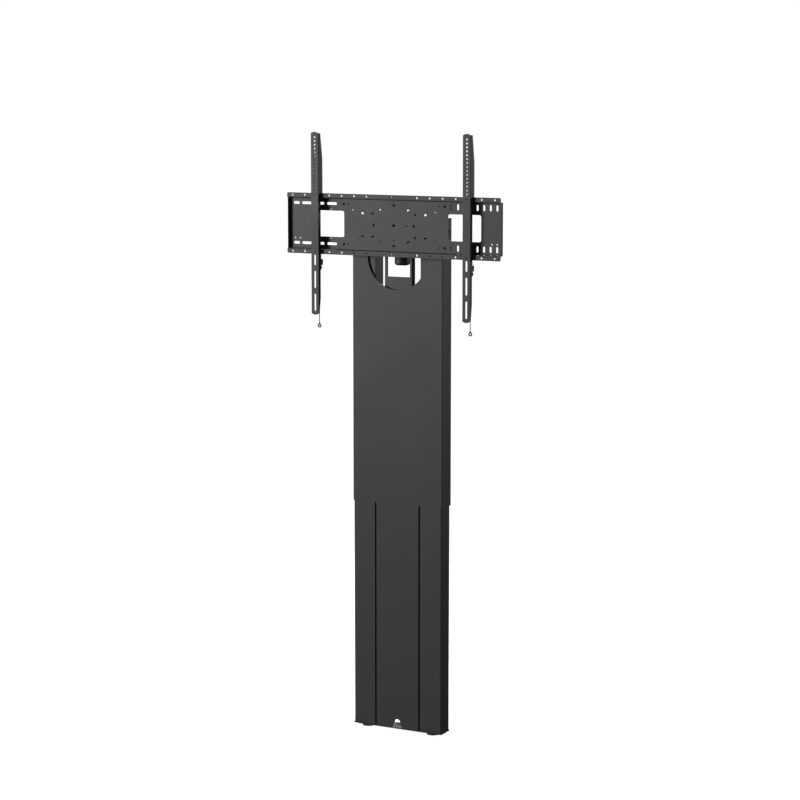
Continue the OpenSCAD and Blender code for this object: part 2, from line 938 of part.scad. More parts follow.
// holes of the plate's web, drawn from its centre
module web_holes2() {
    translate([-52.4 * px, 0])
        rounded2(-window_w / 2, -window_h / 2, window_w / 2, window_h / 2, window_r);
    translate([55.36 * px, 0])
        rounded2(-window_w / 2, -window_h / 2, window_w / 2, window_h / 2, window_r);
    for (s = [-1, 1]) {
        translate([-78.5 * px, s * slot_row])
            slot2(5 * px, 9.6);
        for (x = [-70.2, -59.9, -49.6])
            translate([x * px, s * slot_row])
                slot2(8 * px, 9.6);
        for (i = [0:7])
            translate([(45.3 + 5 * i) * px, s * slot_row])
                rotate(90)
                    slot2(21, 8);
        for (x = [-180, 180])
            translate([x, s * slot_row])
                circle(3.5);
        for (x = rail_bolt_x)
            translate([x, s * slot_row])
                circle(plate_bolt_d / 2 + bolt_gap);
        translate([-4.5, s * 81.2])
            circle(1.8);
        for (x = [-124.5, 124.5])
            translate([x, s * 40.5])
                slot2(10.5, 6.4);
        for (x = [-163.5, 163.5])
            translate([x, s * 50.8])
                circle(2.2);
        translate([-50.4 * px, s * 51])
            circle(2);
    }
    for (p = spacer_at)
        translate(p)
            circle(spacer_bolt_d / 2 + bolt_gap);
    for (s = [-1, 1])
        translate([spacer_at[0][0], s * spacer_at[0][1]])
            slot2(12.5, spacer_bolt_d + 2 * bolt_gap);
    for (p = [[57, 56, 35], [57, -56, 35], [-57, 56, -35]])
        translate([p[0], p[1]])
            rotate(p[2])
                slot2(12, 5.5);
    translate([-57, -56])
        circle(2.8);
    circle(5.5);
    translate([0, -50.6])
        circle(3);
    translate([50.6, 0])
        circle(3);
    for (x = [-79.3, 79.3])
        translate([x, 0])
            rotate(90)
                slot2(12, 6.6);
    for (p = [[-79.74, -53.8], [-75.68, -53.8], [76.3, -53], [80.3, -53]])
        translate([p[0] * px, p[1]])
            circle(2.6);
}

module tv_plate() {
    color(black)
        translate([0, 0, plate_z])
            difference() {
                union() {
                    intersection() {
                        sideways(-plate_w / 2, plate_w / 2) {
                            pan_section2();
                            mirror([0, 1])
                                pan_section2();
                        }
                        facing(plate_front - 5, 40)
                            rounded2(-plate_w / 2, -plate_h / 2, plate_w / 2, plate_h / 2, 5);
                    }
                    for (s = [-1, 1])
                        box([s > 0 ? plate_w / 2 - plate_t : -plate_w / 2, plate_front + 4, -pan_h / 2 + 1],
                            [s > 0 ? plate_w / 2 : plate_t - plate_w / 2, plate_back, pan_h / 2 - 1]);
                }
                facing(web_front - 1, 5)
                    web_holes2();
                for (i = [-flange_last:flange_last])
                    if (abs(i) != 1)
                        for (s = [-1, 1])
                            rod_y(plate_front - 1, plate_front + 4, i * flange_pitch,
                                s * flange_row / 2, flange_hole_d / 2);
            }
}

arm_half = arm_w / 2;
arm_top = arm_len / 2;
arm_hole_z0 = 305;
pin_y = -51;
pin_z = -155.5;

module arm_side2() {
    polygon([[arm_front - 1, arm_top + 1], [arm_front + 13, arm_top + 1],
        [arm_front + arm_d, 225], [arm_front + arm_d, 95], [hook_y, 95], [hook_y, plate_h / 2],
        [plate_front - hook_gap, plate_h / 2], [plate_front - hook_gap, -plate_h / 2 - 1],
        [plate_front + 2, -plate_h / 2 - 4], [plate_front + 2, -148],
        [pin_y + 5, -151], [pin_y + 5, -160],
        [plate_front - 2, -166], [plate_front - 2, -262],
        [arm_front + 5, -arm_top + 6], [arm_front + 5, -arm_top - 1],
        [arm_front - 1, -arm_top - 1]]);
}

// an arm's face with an arc at each end
module arm_face2() {
    square([arm_w + 1, 2 * (arm_top - arm_end_r)], center = true);
    for (s = [-1, 1])
        translate([0, s * (arm_top - arm_end_r)])
            circle(arm_end_r);
}

module arm_body() {
    difference() {
        union() {
            intersection() {
                translate([0, 0, -arm_top])
                    linear_extrude(arm_len)
                        difference() {
                            rounded2(-arm_half, arm_front, arm_half, arm_front + 60, 2.2);
                            rounded2(-arm_half + arm_t, arm_front + arm_t, arm_half - arm_t,
                                arm_front + 80, 0.3);
                        }
                sideways(-20, 20)
                    arm_side2();
                facing(arm_front - 5, 60)
                    arm_face2();
            }
            box([latch_x - 4, arm_front + arm_t - e, -177], [arm_half - arm_t + e, -56, -175]);
        }
        for (i = [0:14])
            rod_y(arm_front - 1, arm_front + 4, 0, arm_hole_z0 - i * arm_hole_pitch, arm_hole_d / 2);
        for (z = [101, -87, -100])
            rod_y(arm_front - 1, arm_front + 4, 0, z, 2.6);
        facing(arm_front - 1, 5) {
            translate([0, -128.5])
                rotate(90)
                    slot2(37, arm_slot_w);
            for (z = [-198.2, -279.5])
                translate([0, z])
                    rotate(90)
                        slot2(61, arm_slot_w);
        }
        rod_x(-20, 20, pin_y, pin_z, pin_d / 2 - 0.5);
    }
}

module on_arm(s) {
    translate([s * arm_x, 0, plate_z])
        children();
}

module arm_left() color(black) on_arm(-1) arm_body();

module arm_right() color(black) on_arm(1) arm_body();

// the latch's guide pin, riveted through both sides of the arm
module arm_pin() {
    rod_x(-arm_half + arm_t, arm_half - arm_t, pin_y, pin_z, pin_d / 2);
    rod_x(-arm_half - 0.4, arm_half + 0.4, pin_y, pin_z, pin_d / 2 - 0.5);
    for (s = [-1, 1])
        rod_x(s > 0 ? arm_half : -arm_half - 1.6, s > 0 ? arm_half + 1.6 : -arm_half,
            pin_y, pin_z, 5);
}

module arm_pin_left() color(steel) on_arm(-1) arm_pin();

module arm_pin_right() color(steel) on_arm(1) arm_pin();

module latch() {
    difference() {
        union() {
            sideways(latch_x - 5, latch_x + 5.5)
                polygon([[-63.5, -127], [hook_y, -127], [hook_y, -104], [-45.5, -99], [-43.5, -99],
                    [-43.5, -127], [-32.5, -127], [-30.5, -129], [-30.5, -148.5], [-63.5, -148.5]]);
            box([latch_x - 4.5, -55.5, -175], [latch_x + 4.5, -46, -148]);
        }
        sideways(-20, 20)
            translate([pin_y, pin_z + latch_travel / 2])
                rotate(90)
                    slot2(latch_travel + pin_d + 0.6, pin_d + 0.6);
    }
}

module latch_left() color(dark) on_arm(-1) latch();

module latch_right() color(dark) on_arm(1) latch();

// a closed tube swept through rings of points
module tube_mesh(rings) {
    n = len(rings);
    k = len(rings[0]);
    pts = [for (r = rings) for (p = r) p];
    sides = [for (i = [0:n - 2]) for (j = [0:k - 1]) for (h = [0, 1])
        h == 0 ? [i * k + j, i * k + (j + 1) % k, (i + 1) * k + (j + 1) % k]
            : [i * k + j, (i + 1) * k + (j + 1) % k, (i + 1) * k + j]];
    low = [for (j = [1:k - 2]) [0, j + 1, j]];
    high = [for (j = [1:k - 2]) [(n - 1) * k, (n - 1) * k + j, (n - 1) * k + j + 1]];
    polyhedron(points = pts, faces = concat(sides, low, high), convexity = 10);
}

// points of the wire's centre line, climbing round the spring's axis
function coil_at(t) = let (a = 360 * spring_turns * t, r = (spring_d - spring_wire) / 2)
    [latch_x + r * cos(a), spring_y + r * sin(a),
        spring_low + spring_wire / 2 + t * (spring_top - spring_low - spring_wire)];

function coil_ring(t) = let (a = 360 * spring_turns * t, c = coil_at(t), w = spring_wire / 2)
    [for (j = [0:5]) let (b = -60 * j)
        [c[0] + w * cos(b) * cos(a), c[1] + w * cos(b) * sin(a), c[2] + w * sin(b)]];

// least space between neighbouring turns, measured on the wire's own points
spring_steps = spring_turns * 8;
spring_space = min([for (i = [0:spring_steps - 8]) for (k = [5:11])
    i + k > spring_steps ? 100 : norm(coil_at((i + k) / spring_steps) - coil_at(i / spring_steps))])
    - spring_wire;
echo(spring_space_mm = spring_space);

module latch_spring() {
    tube_mesh([for (i = [0:spring_steps]) coil_ring(i / spring_steps)]);
}

module latch_spring_left() color(steel) on_arm(-1) latch_spring();

module latch_spring_right() color(steel) on_arm(1) latch_spring();

// every ring centre along the cord's route
function cord_points() = [for (i = [0:len(cord_route) - 2])
    let (a = cord_route[i], b = cord_route[i + 1], n = round(norm(b - a) / cord_step))
        for (j = [0:n - 1]) a + (b - a) * j / n];

module pull_cord() {
    path = concat(cord_points(), [cord_route[len(cord_route) - 1]]);
    tube_mesh([for (p = path) [for (j = [0:7])
        [p[0] + cord_d / 2 * cos(-45 * j), p[1] + cord_d / 2 * sin(-45 * j), p[2]]]]);
}

module pull_cord_left() color(dark) on_arm(-1) pull_cord();

module pull_cord_right() color(dark) on_arm(1) pull_cord();

// a ring with a tapered neck that takes the end of the cord
module pull_ring() {
    bar = ring_bar / 2;
    translate([latch_x, cord_y, ring_z]) {
        rotate([90, 0, 0])
            rotate_extrude()
                translate([ring_w / 2 - bar, 0])
                    circle(bar);
        translate([0, 0, ring_w / 2 - bar - 0.6])
            cylinder(r1 = 2.8, r2 = cord_d / 2 + 0.4, h = cord_end - ring_z - ring_w / 2 + bar + 0.6);
    }
}

module pull_ring_left() color(dark) on_arm(-1) pull_ring();

module pull_ring_right() color(dark) on_arm(1) pull_ring();

base_plate();
foot_pad_left();
foot_pad_right();
foot_stud_left();
foot_stud_right();
foot_nuts();
column_left();
column_right();
centre_panel();
centre_frame_lower();
centre_frame_upper();
wall_bracket_lower();
wall_bracket_upper();
bracket_bolts();
base_screws();
nut_tube_left();
nut_tube_right();
spindle_nut_left();
spindle_nut_right();
column_glides_left();
column_glides_right();
control_box();
power_inlet();
upper_cover();
cover_spacers();
cover_screws();
post_left();
post_right();
post_glides_left();
post_glides_right();
head_beam();
mast_channel();
gear_housing();
motor();
bevel_box_left();
bevel_box_right();
carrier();
carrier_bolts();
rail_upper();
rail_lower();
plate_spacers();
plate_bolts();
tv_plate();
spindle_left();
spindle_right();
drive_shaft();
arm_left();
arm_right();
arm_pin_left();
arm_pin_right();
latch_left();
latch_right();
latch_spring_left();
latch_spring_right();
pull_cord_left();
pull_cord_right();
pull_ring_left();
pull_ring_right();
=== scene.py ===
import math

import bmesh
import bpy
from mathutils import Matrix, Vector


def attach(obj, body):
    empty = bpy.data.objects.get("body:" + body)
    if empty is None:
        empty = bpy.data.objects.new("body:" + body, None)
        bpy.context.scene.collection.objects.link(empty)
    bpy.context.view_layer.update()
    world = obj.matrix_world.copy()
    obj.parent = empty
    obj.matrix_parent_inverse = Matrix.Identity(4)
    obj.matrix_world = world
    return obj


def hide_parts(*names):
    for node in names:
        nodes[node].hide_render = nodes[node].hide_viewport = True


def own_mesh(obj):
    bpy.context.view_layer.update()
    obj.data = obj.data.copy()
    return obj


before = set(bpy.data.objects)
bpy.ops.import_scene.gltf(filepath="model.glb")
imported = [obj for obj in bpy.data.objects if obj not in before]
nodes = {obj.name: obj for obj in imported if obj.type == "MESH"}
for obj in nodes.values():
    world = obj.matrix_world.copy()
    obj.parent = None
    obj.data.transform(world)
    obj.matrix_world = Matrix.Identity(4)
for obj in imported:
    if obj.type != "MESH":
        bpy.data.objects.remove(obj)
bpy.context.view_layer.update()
mm = 0.001
sides = {"left": -1, "right": 1}
weldGap = 0.00001  # points closer than this become one
# each arm's distance from the middle, how far right of that its latch is, and the plate's centre height
arms = {"x": 0.300, "latch": 0.007, "z": 1.8265}
# where the two spindles stand, each in line with a foot
spindles = {"x": 0.1315, "y": 0.0185}
print("frame loaded:", len(nodes), "nodes")


# the photograph's view, worked out from sixty points of the stand
cameraValues = {"place": (3.8591, -7.2289, 2.3606), "tilt": 81.987, "turn": 28.054, "lens": 105.0,
                "sensor": 36.0, "farthest": 200.0}


def addCamera(values):
    data = bpy.data.cameras.new("camera")
    data.lens = values["lens"]
    data.sensor_width = values["sensor"]
    data.clip_end = values["farthest"]
    camera = bpy.data.objects.new("camera", data)
    camera.location = values["place"]
    camera.rotation_euler = (math.radians(values["tilt"]), 0.0, math.radians(values["turn"]))
    bpy.context.scene.collection.objects.link(camera)
    bpy.context.scene.camera = camera


addCamera(cameraValues)


# how a colour that is picked on a screen becomes the renderer's own
def toLinear(hexColour):
    parts = [int(hexColour[i:i + 2], 16) / 255.0 for i in (1, 3, 5)]
    return tuple(p / 12.92 if p <= 0.04045 else ((p + 0.055) / 1.055) ** 2.4 for p in parts) + (1.0,)


def addNode(tree, kind, settings=None, inputs=None, links=None):
    node = tree.nodes.new(kind)
    for key, value in (settings or {}).items():
        setattr(node, key, value)
    for key, value in (inputs or {}).items():
        node.inputs[key].default_value = value
    for key, source in (links or {}).items():
        tree.links.new(source, node.inputs[key])
    return node


def startMaterial(name, constants):
    material = bpy.data.materials.new(name)
    material.use_nodes = True
    tree = material.node_tree
    shader = tree.nodes["Principled BSDF"]
    for key, value in constants.items():
        shader.inputs[key].default_value = value
    coordinates = addNode(tree, "ShaderNodeTexCoord")
    return material, tree, shader, coordinates.outputs["Object"]


# how the two patterns of a grained finish are drawn and added up, and which sums give its two colours
patterns = {"clouds": {"Detail": 3.0, "Roughness": 0.55}, "grain": {"Detail": 2.0, "Roughness": 0.6},
            "cloudShare": 0.55, "darkAt": 0.42, "lightAt": 1.12}


# a finish with two patterns: slow clouding of colour and gloss, and a fine grain that is felt as bump
def grainedFinish(name, values):
    material, tree, shader, place = startMaterial(name, values["shader"])
    clouds = addNode(tree, "ShaderNodeTexNoise",
                     inputs={"Scale": 1.0 / (values["cloudMm"] * mm), **patterns["clouds"]},
                     links={"Vector": place})
    grain = addNode(tree, "ShaderNodeTexNoise",
                    inputs={"Scale": 1.0 / (values["grainMm"] * mm), **patterns["grain"]},
                    links={"Vector": place})
    amount = addNode(tree, "ShaderNodeMath", {"operation": "MULTIPLY_ADD"}, {1: patterns["cloudShare"]},
                     {0: clouds.outputs["Fac"], 2: grain.outputs["Fac"]})
    share = addNode(tree, "ShaderNodeMapRange",
                    inputs={"From Min": patterns["darkAt"], "From Max": patterns["lightAt"]},
                    links={"Value": amount.outputs[0]})
    colour = addNode(tree, "ShaderNodeMix", {"data_type": "RGBA"},
                     {"A": toLinear(values["dark"]), "B": toLinear(values["light"])},
                     {"Factor": share.outputs["Result"]})
    gloss = addNode(tree, "ShaderNodeMapRange",
                    inputs={"To Min": values["roughness"][0], "To Max": values["roughness"][1]},
                    links={"Value": clouds.outputs["Fac"]})
    bump = addNode(tree, "ShaderNodeBump",
                   inputs={"Strength": values["bump"], "Distance": values["bumpMm"] * mm},
                   links={"Height": grain.outputs["Fac"]})
    tree.links.new(colour.outputs["Result"], shader.inputs["Base Color"])
    tree.links.new(gloss.outputs["Result"], shader.inputs["Roughness"])
    tree.links.new(bump.outputs["Normal"], shader.inputs["Normal"])
    return material


finishes = {
    # textured polyester powder coat on sheet steel: an even, dull near-black with a sandy tooth.
    # its real grit is about 0.4 mm, drawn at 2.4 mm so that it shows at this distance
    "powderCoat": {"dark": "#2b2b2c", "light": "#333334", "cloudMm": 160.0, "grainMm": 2.4,
                   "roughness": (0.50, 0.64), "bump": 0.16, "bumpMm": 0.25,
                   "shader": {"Metallic": 0.0, "IOR": 1.5}},
    # the same coat on the two arms, a shade darker: painted shade that evens out the stronger light
    # falling on them
    "armCoatPaintedShade": {"dark": "#29292a", "light": "#313132", "cloudMm": 120.0, "grainMm": 2.4,
                "roughness": (0.50, 0.64), "bump": 0.16, "bumpMm": 0.25,
                "shader": {"Metallic": 0.0, "IOR": 1.5}},
    # the same coat on the parts behind, smoother, and darker as painted shade for the recesses they
    # stand in
    "innerCoatPaintedShade": {"dark": "#212122", "light": "#29292a", "cloudMm": 120.0, "grainMm": 2.0,
                  "roughness": (0.48, 0.60), "bump": 0.12, "bumpMm": 0.2,
                  "shader": {"Metallic": 0.0, "IOR": 1.5}},
    # bright zinc plate on steel: cool grey metal with faint bloom
    "zincPlate": {"dark": "#9a9ca0", "light": "#c2c4c6", "cloudMm": 14.0, "grainMm": 1.2,
                  "roughness": (0.26, 0.42), "bump": 0.05, "bumpMm": 0.05,
                  "shader": {"Metallic": 1.0}},
    # phosphated steel of the screws and bolts: a matt black that takes up nearly all light, partly its
    # own black and partly painted shade, so that the heads look as dark as holes in shadow
    "blackSteelAndPaintedShade": {"dark": "#030303", "light": "#080808", "cloudMm": 6.0, "grainMm": 0.8,
                   "roughness": (0.74, 0.86), "bump": 0.05, "bumpMm": 0.05,
                   "shader": {"Metallic": 0.0, "IOR": 1.5, "Specular IOR Level": 0.3}},
    # sand-cast aluminium: light grey metal, dull from its rough skin
    "castAluminium": {"dark": "#84868a", "light": "#9b9da0", "cloudMm": 22.0, "grainMm": 1.1,
                      "roughness": (0.58, 0.72), "bump": 0.35, "bumpMm": 0.2,
                      "shader": {"Metallic": 1.0}},
    # stoving enamel on the motor's drawn can: satin black with broad, soft lights in it
    "stoveEnamel": {"dark": "#1a1a1b", "light": "#202021", "cloudMm": 40.0, "grainMm": 5.0,
                    "roughness": (0.50, 0.58), "bump": 0.03, "bumpMm": 0.1,
                    "shader": {"Metallic": 0.0, "IOR": 1.5}},
    # turned brass of the spindle nuts: a warm yellow metal with soft, narrow lights
    "turnedBrass": {"dark": "#a98a4c", "light": "#c2a360", "cloudMm": 12.0, "grainMm": 0.9,
                    "roughness": (0.24, 0.36), "bump": 0.06, "bumpMm": 0.05,
                    "shader": {"Metallic": 1.0}},
    # rolled steel under a film of grease: mid grey, darker in patches
    "oiledSteel": {"dark": "#5d5d5e", "light": "#8a8a8a", "cloudMm": 18.0, "grainMm": 1.0,
                   "roughness": (0.34, 0.48), "bump": 0.04, "bumpMm": 0.05,
                   "shader": {"Metallic": 1.0}},
    # machined acetal of the glides: milky, waxy white
    "acetal": {"dark": "#d6d4cd", "light": "#e6e4de", "cloudMm": 25.0, "grainMm": 1.5,
               "roughness": (0.36, 0.46), "bump": 0.04, "bumpMm": 0.05,
               "shader": {"Metallic": 0.0, "IOR": 1.48, "Subsurface Weight": 0.08,
                          "Subsurface Scale": 0.002}},
    # spark-eroded ABS of the control box: black with a fine leathery grain
    "grainedAbs": {"dark": "#161617", "light": "#202021", "cloudMm": 30.0, "grainMm": 1.3,
                   "roughness": (0.44, 0.56), "bump": 0.30, "bumpMm": 0.15,
                   "shader": {"Metallic": 0.0, "IOR": 1.53}},
    # glass-filled nylon of the latches and pulls: black, slightly greyed by its fibres
    "filledNylon": {"dark": "#131314", "light": "#242425", "cloudMm": 9.0, "grainMm": 0.9,
                    "roughness": (0.42, 0.58), "bump": 0.15, "bumpMm": 0.1,
                    "shader": {"Metallic": 0.0, "IOR": 1.53}},
    # moulded rubber of the cable grommet: matt grey with a dusty bloom
    "greyRubber": {"dark": "#3e3e3f", "light": "#4c4c4d", "cloudMm": 12.0, "grainMm": 1.0,
                   "roughness": (0.66, 0.80), "bump": 0.12, "bumpMm": 0.1,
                   "shader": {"Metallic": 0.0, "IOR": 1.52}},
    # moulded rubber of the feet: a deep black without any shine
    "mouldedRubber": {"dark": "#0b0b0b", "light": "#141414", "cloudMm": 15.0, "grainMm": 1.0,
                      "roughness": (0.68, 0.82), "bump": 0.15, "bumpMm": 0.1,
                      "shader": {"Metallic": 0.0, "IOR": 1.52}},
}
finish = {name: grainedFinish(name, values) for name, values in finishes.items()}


# braided polyester cord: black strands, dull with a soft sheen, that cross 1.2 mm apart along the cord
cordFinish = {"dark": "#141414", "light": "#2e2e2e", "strandMm": 1.2, "lean": 0.7, "distortion": 0.4,
              "bump": 0.5, "bumpMm": 0.1, "shader": {"Roughness": 0.8, "Sheen Weight": 0.3}}


def braidedCord(name, values):
    material, tree, shader, place = startMaterial(name, values["shader"])
    waves = []
    for lean in (values["lean"], -values["lean"]):
        turned = addNode(tree, "ShaderNodeMapping", inputs={"Rotation": (lean, lean, 0.0)},
                         links={"Vector": place})
        waves.append(addNode(tree, "ShaderNodeTexWave", {"bands_direction": "Z"},
                             {"Scale": 0.5 / (values["strandMm"] * mm),
                              "Distortion": values["distortion"]},
                             {"Vector": turned.outputs["Vector"]}))
    weave = addNode(tree, "ShaderNodeMath", {"operation": "MAXIMUM"},
                    links={0: waves[0].outputs["Fac"], 1: waves[1].outputs["Fac"]})
    colour = addNode(tree, "ShaderNodeMix", {"data_type": "RGBA"},
                     {"A": toLinear(values["dark"]), "B": toLinear(values["light"])},
                     {"Factor": weave.outputs[0]})
    bump = addNode(tree, "ShaderNodeBump",
                   inputs={"Strength": values["bump"], "Distance": values["bumpMm"] * mm},
                   links={"Height": weave.outputs[0]})
    tree.links.new(colour.outputs["Result"], shader.inputs["Base Color"])
    tree.links.new(bump.outputs["Normal"], shader.inputs["Normal"])
    return material


finish["braidedCord"] = braidedCord("braidedCord", cordFinish)
print("finishes made:", len(finish))


def objectMode():
    if bpy.context.object is not None and bpy.context.mode != "OBJECT":
        bpy.ops.object.mode_set(mode="OBJECT")
    bpy.ops.object.select_all(action="DESELECT")


def pick(piece):
    objectMode()
    piece.select_set(True)
    bpy.context.view_layer.objects.active = piece


def editMode(piece):
    pick(piece)
    bpy.ops.object.mode_set(mode="EDIT")


# takes the primitive that was just added, and puts its place into its mesh
def settle(name):
    piece = bpy.context.object
    piece.name = name
    piece.data.name = name
    bpy.ops.object.transform_apply(location=True, rotation=True, scale=True)
    return piece


def addBlock(name, low, high):
    objectMode()
    middle = [(a + b) / 2 for a, b in zip(low, high)]
    size = [b - a for a, b in zip(low, high)]
    bpy.ops.mesh.primitive_cube_add(size=1.0, location=middle, scale=size)
    return settle(name)


turnsTo = {"x": (0.0, math.pi / 2, 0.0), "y": (math.pi / 2, 0.0, 0.0), "z": (0.0, 0.0, 0.0)}


def addRod(name, middle, radius, length, axis="z", corners=48):
    objectMode()
    bpy.ops.mesh.primitive_cylinder_add(vertices=corners, radius=radius, depth=length,
                                        location=middle, rotation=turnsTo[axis])
    return settle(name)


def selectFaces(piece, wanted):
    bpy.context.tool_settings.mesh_select_mode = (False, False, True)
    bpy.ops.mesh.select_all(action="DESELECT")
    shape = bmesh.from_edit_mesh(piece.data)
    for face in shape.faces:
        if wanted(face.calc_center_median(), face.normal):
            face.select_set(True)
    bmesh.update_edit_mesh(piece.data)


def selectEdges(piece, wanted):
    bpy.context.tool_settings.mesh_select_mode = (False, True, False)
    bpy.ops.mesh.select_all(action="DESELECT")
    shape = bmesh.from_edit_mesh(piece.data)
    for edge in shape.edges:
        if wanted(edge.verts[0].co, edge.verts[1].co):
            edge.select_set(True)
    bmesh.update_edit_mesh(piece.data)


# picks the edges of a fresh block that run along one axis
def runsAlong(axis):
    index = "xyz".index(axis)
    return lambda a, b: abs(a[index] - b[index]) > mm


def bevelEdges(piece, wanted, width, segments):
    editMode(piece)
    selectEdges(piece, wanted)
    bpy.ops.mesh.bevel(offset=width, segments=segments, affect="EDGES", clamp_overlap=True)
    objectMode()


# insets the chosen faces and moves them along a direction: a raised panel or a recess
def panel(piece, wanted, inset, move):
    editMode(piece)
    selectFaces(piece, wanted)
    bpy.ops.mesh.inset(thickness=inset, depth=0.0)
    bpy.ops.mesh.extrude_region_move(TRANSFORM_OT_translate={"value": move})
    objectMode()


def applyModifier(piece, kind, settings):
    pick(piece)
    modifier = piece.modifiers.new(kind.lower(), kind)
    for key, value in settings.items():
        setattr(modifier, key, value)
    bpy.ops.object.modifier_apply(modifier=modifier.name)


# cuts a piece with a tool, joins the two or keeps what they share, and takes the tool away
def cutWith(piece, tool, operation="DIFFERENCE", selfCrossing=False):
    applyModifier(piece, "BOOLEAN", {"operation": operation, "object": tool, "solver": "EXACT",
                                     "use_self": selfCrossing})
    bpy.data.objects.remove(tool)


def softEdges(piece, width, angle=50.0):
    applyModifier(piece, "BEVEL", {"width": width, "segments": 2, "limit_method": "ANGLE",
                                   "angle_limit": math.radians(angle), "harden_normals": False})


# a line of points: a plane merged to a single point, which is then extruded from place to place
def drawLine(name, points):
    objectMode()
    bpy.ops.mesh.primitive_plane_add(size=mm, location=points[0])
    piece = settle(name)
    editMode(piece)
    bpy.context.tool_settings.mesh_select_mode = (True, False, False)
    bpy.ops.mesh.select_all(action="SELECT")
    bpy.ops.mesh.merge(type="CENTER")
    for last, point in zip(points, points[1:]):
        step = [b - a for a, b in zip(last, point)]
        bpy.ops.mesh.extrude_region_move(TRANSFORM_OT_translate={"value": step})
    objectMode()
    return piece


def cleanNormals(piece):
    editMode(piece)
    bpy.ops.mesh.select_all(action="SELECT")
    bpy.ops.mesh.remove_doubles(threshold=weldGap)
    bpy.ops.mesh.normals_make_consistent(inside=False)
    objectMode()


# spins a profile of (radius, height) pairs round an upright axis
def turnedPiece(name, middle, profile, steps=48):
    line = [(middle[0] + r, middle[1], middle[2] + z) for r, z in profile]
    piece = drawLine(name, line)
    editMode(piece)
    bpy.ops.mesh.select_all(action="SELECT")
    bpy.ops.mesh.spin(steps=steps, angle=2 * math.pi, center=middle, axis=(0.0, 0.0, 1.0))
    cleanNormals(piece)
    return piece


# points of a turned profile that are given in millimetres, up from a height
def profilePart(points, height=0.0):
    return [(r * mm, height + z * mm) for r, z in points]


# the quarter round between a turned piece's flat underside and its wall, at angles from 0 to a
# quarter turn
def quarterRound(radius, size, angles):
    return [(radius - size + size * math.sin(a), size - size * math.cos(a)) for a in angles]


# a groove round a turned piece's wall, with sloping sides
def grooveRound(radius, depth, low, high, slope):
    return [(radius, low - slope), (radius - depth, low), (radius - depth, high), (radius, high + slope)]


# a turned rim with both of its corners cut off
def cutRim(radius, low, high, size):
    return [(radius - size, low), (radius, low + size), (radius, high - size), (radius - size, high)]


# a round wire or cord along a line of points
def addWire(name, points, diameter, resolution):
    curve = bpy.data.curves.new(name, "CURVE")
    curve.dimensions = "3D"
    curve.bevel_depth = diameter / 2
    curve.bevel_resolution = resolution
    curve.use_fill_caps = True
    line = curve.splines.new("POLY")
    line.points.add(len(points) - 1)
    for spot, point in zip(line.points, points):
        spot.co = (*point, 1.0)
    wire = bpy.data.objects.new(name, curve)
    bpy.context.scene.collection.objects.link(wire)
    return wire


def joinPieces(name, parts):
    objectMode()
    for part in parts:
        part.select_set(True)
    bpy.context.view_layer.objects.active = parts[0]
    bpy.ops.object.join()
    parts[0].name = name
    parts[0].data.name = name
    return parts[0]


def copyPiece(piece, name, shift=(0.0, 0.0, 0.0)):
    other = piece.copy()
    other.data = piece.data.copy()
    other.name = name
    other.data.name = name
    bpy.context.scene.collection.objects.link(other)
    other.data.transform(Matrix.Translation(shift))
    return other


# the same piece on the other side of the stand, with its faces turned the right way again
def mirroredPiece(piece, name):
    other = copyPiece(piece, name)
    other.data.transform(Matrix.Diagonal((-1.0, 1.0, 1.0, 1.0)))
    other.data.flip_normals()
    return other


def finishPiece(piece, finishName, body, replaced=(), angle=35.0):
    pick(piece)
    piece.data.materials.clear()
    piece.data.materials.append(finish[finishName])
    bpy.ops.object.shade_smooth_by_angle(angle=math.radians(angle))
    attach(piece, body)
    if replaced:
        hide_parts(*replaced)
    return piece


# the line down an arm, right of its middle, that its latch, spring, cord and ring are strung on
def latchLine(side):
    return sides[side] * arms["x"] + arms["latch"]


# the pull cord runs straight down from its latch to its ring
pullCord = {"y": -0.048, "top": -0.175, "low": -0.353, "diameter": 0.003, "points": 18, "resolution": 4}


def makePullCord(side):
    v = pullCord
    step = (v["low"] - v["top"]) / (v["points"] - 1)
    points = [(latchLine(side), v["y"], arms["z"] + v["top"] + step * i) for i in range(v["points"])]
    cord = addWire("pullCord_" + side, points, v["diameter"], v["resolution"])
    cord.data.materials.append(finish["braidedCord"])
    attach(cord, "latch_" + side[0])
    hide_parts("pull_cord_" + side)
    return cord


# the ring: a torus whose upper half is drawn up and in to a drop, under a tapered ferrule. The
# ferrule's foot is measured from the drop's top and its neck from the cord's end
pullRing = {"y": -0.048, "z": -0.364, "width": 0.0154, "bar": 0.0048, "corners": (48, 16),
            "stretch": 1.3, "narrow": 0.30, "mostShare": 1.2, "top": -0.353, "ferruleFrom": 1.1,
            "ferruleFoot": ((0.0, -0.6), (1.9, -0.2), (2.6, 0.8)), "ferruleWaist": 0.0023,
            "ferruleNeck": ((1.9, -0.4), (1.6, 0.0), (0.0, 0.0))}


def makePullRing(side):
    v = pullRing
    x = latchLine(side)
    z = arms["z"] + v["z"]
    bar = v["bar"] / 2
    major = v["width"] / 2 - bar
    objectMode()
    bpy.ops.mesh.primitive_torus_add(location=(x, v["y"], z), rotation=turnsTo["y"],
                                     major_radius=major, minor_radius=bar,
                                     major_segments=v["corners"][0], minor_segments=v["corners"][1])
    ring = settle("pullRing_" + side)
    for vertex in ring.data.vertices:
        height = vertex.co.z - z
        if height > 0.0:
            share = min(height / major, v["mostShare"])
            vertex.co.z = z + height * (1.0 + (v["stretch"] - 1.0) * share * share)
            vertex.co.x = x + (vertex.co.x - x) * (1.0 - v["narrow"] * share * share)
    low = major * v["ferruleFrom"]
    high = arms["z"] + v["top"] - z
    ferrule = turnedPiece("ferrule", (x, v["y"], z),
                          profilePart(v["ferruleFoot"], low) + [(v["ferruleWaist"], (low + high) / 2)]
                          + profilePart(v["ferruleNeck"], high), steps=32)
    ring = joinPieces("pullRing_" + side, [ring, ferrule])
    return finishPiece(ring, "filledNylon", "latch_" + side[0], ["pull_ring_" + side],
                       angle=60.0)


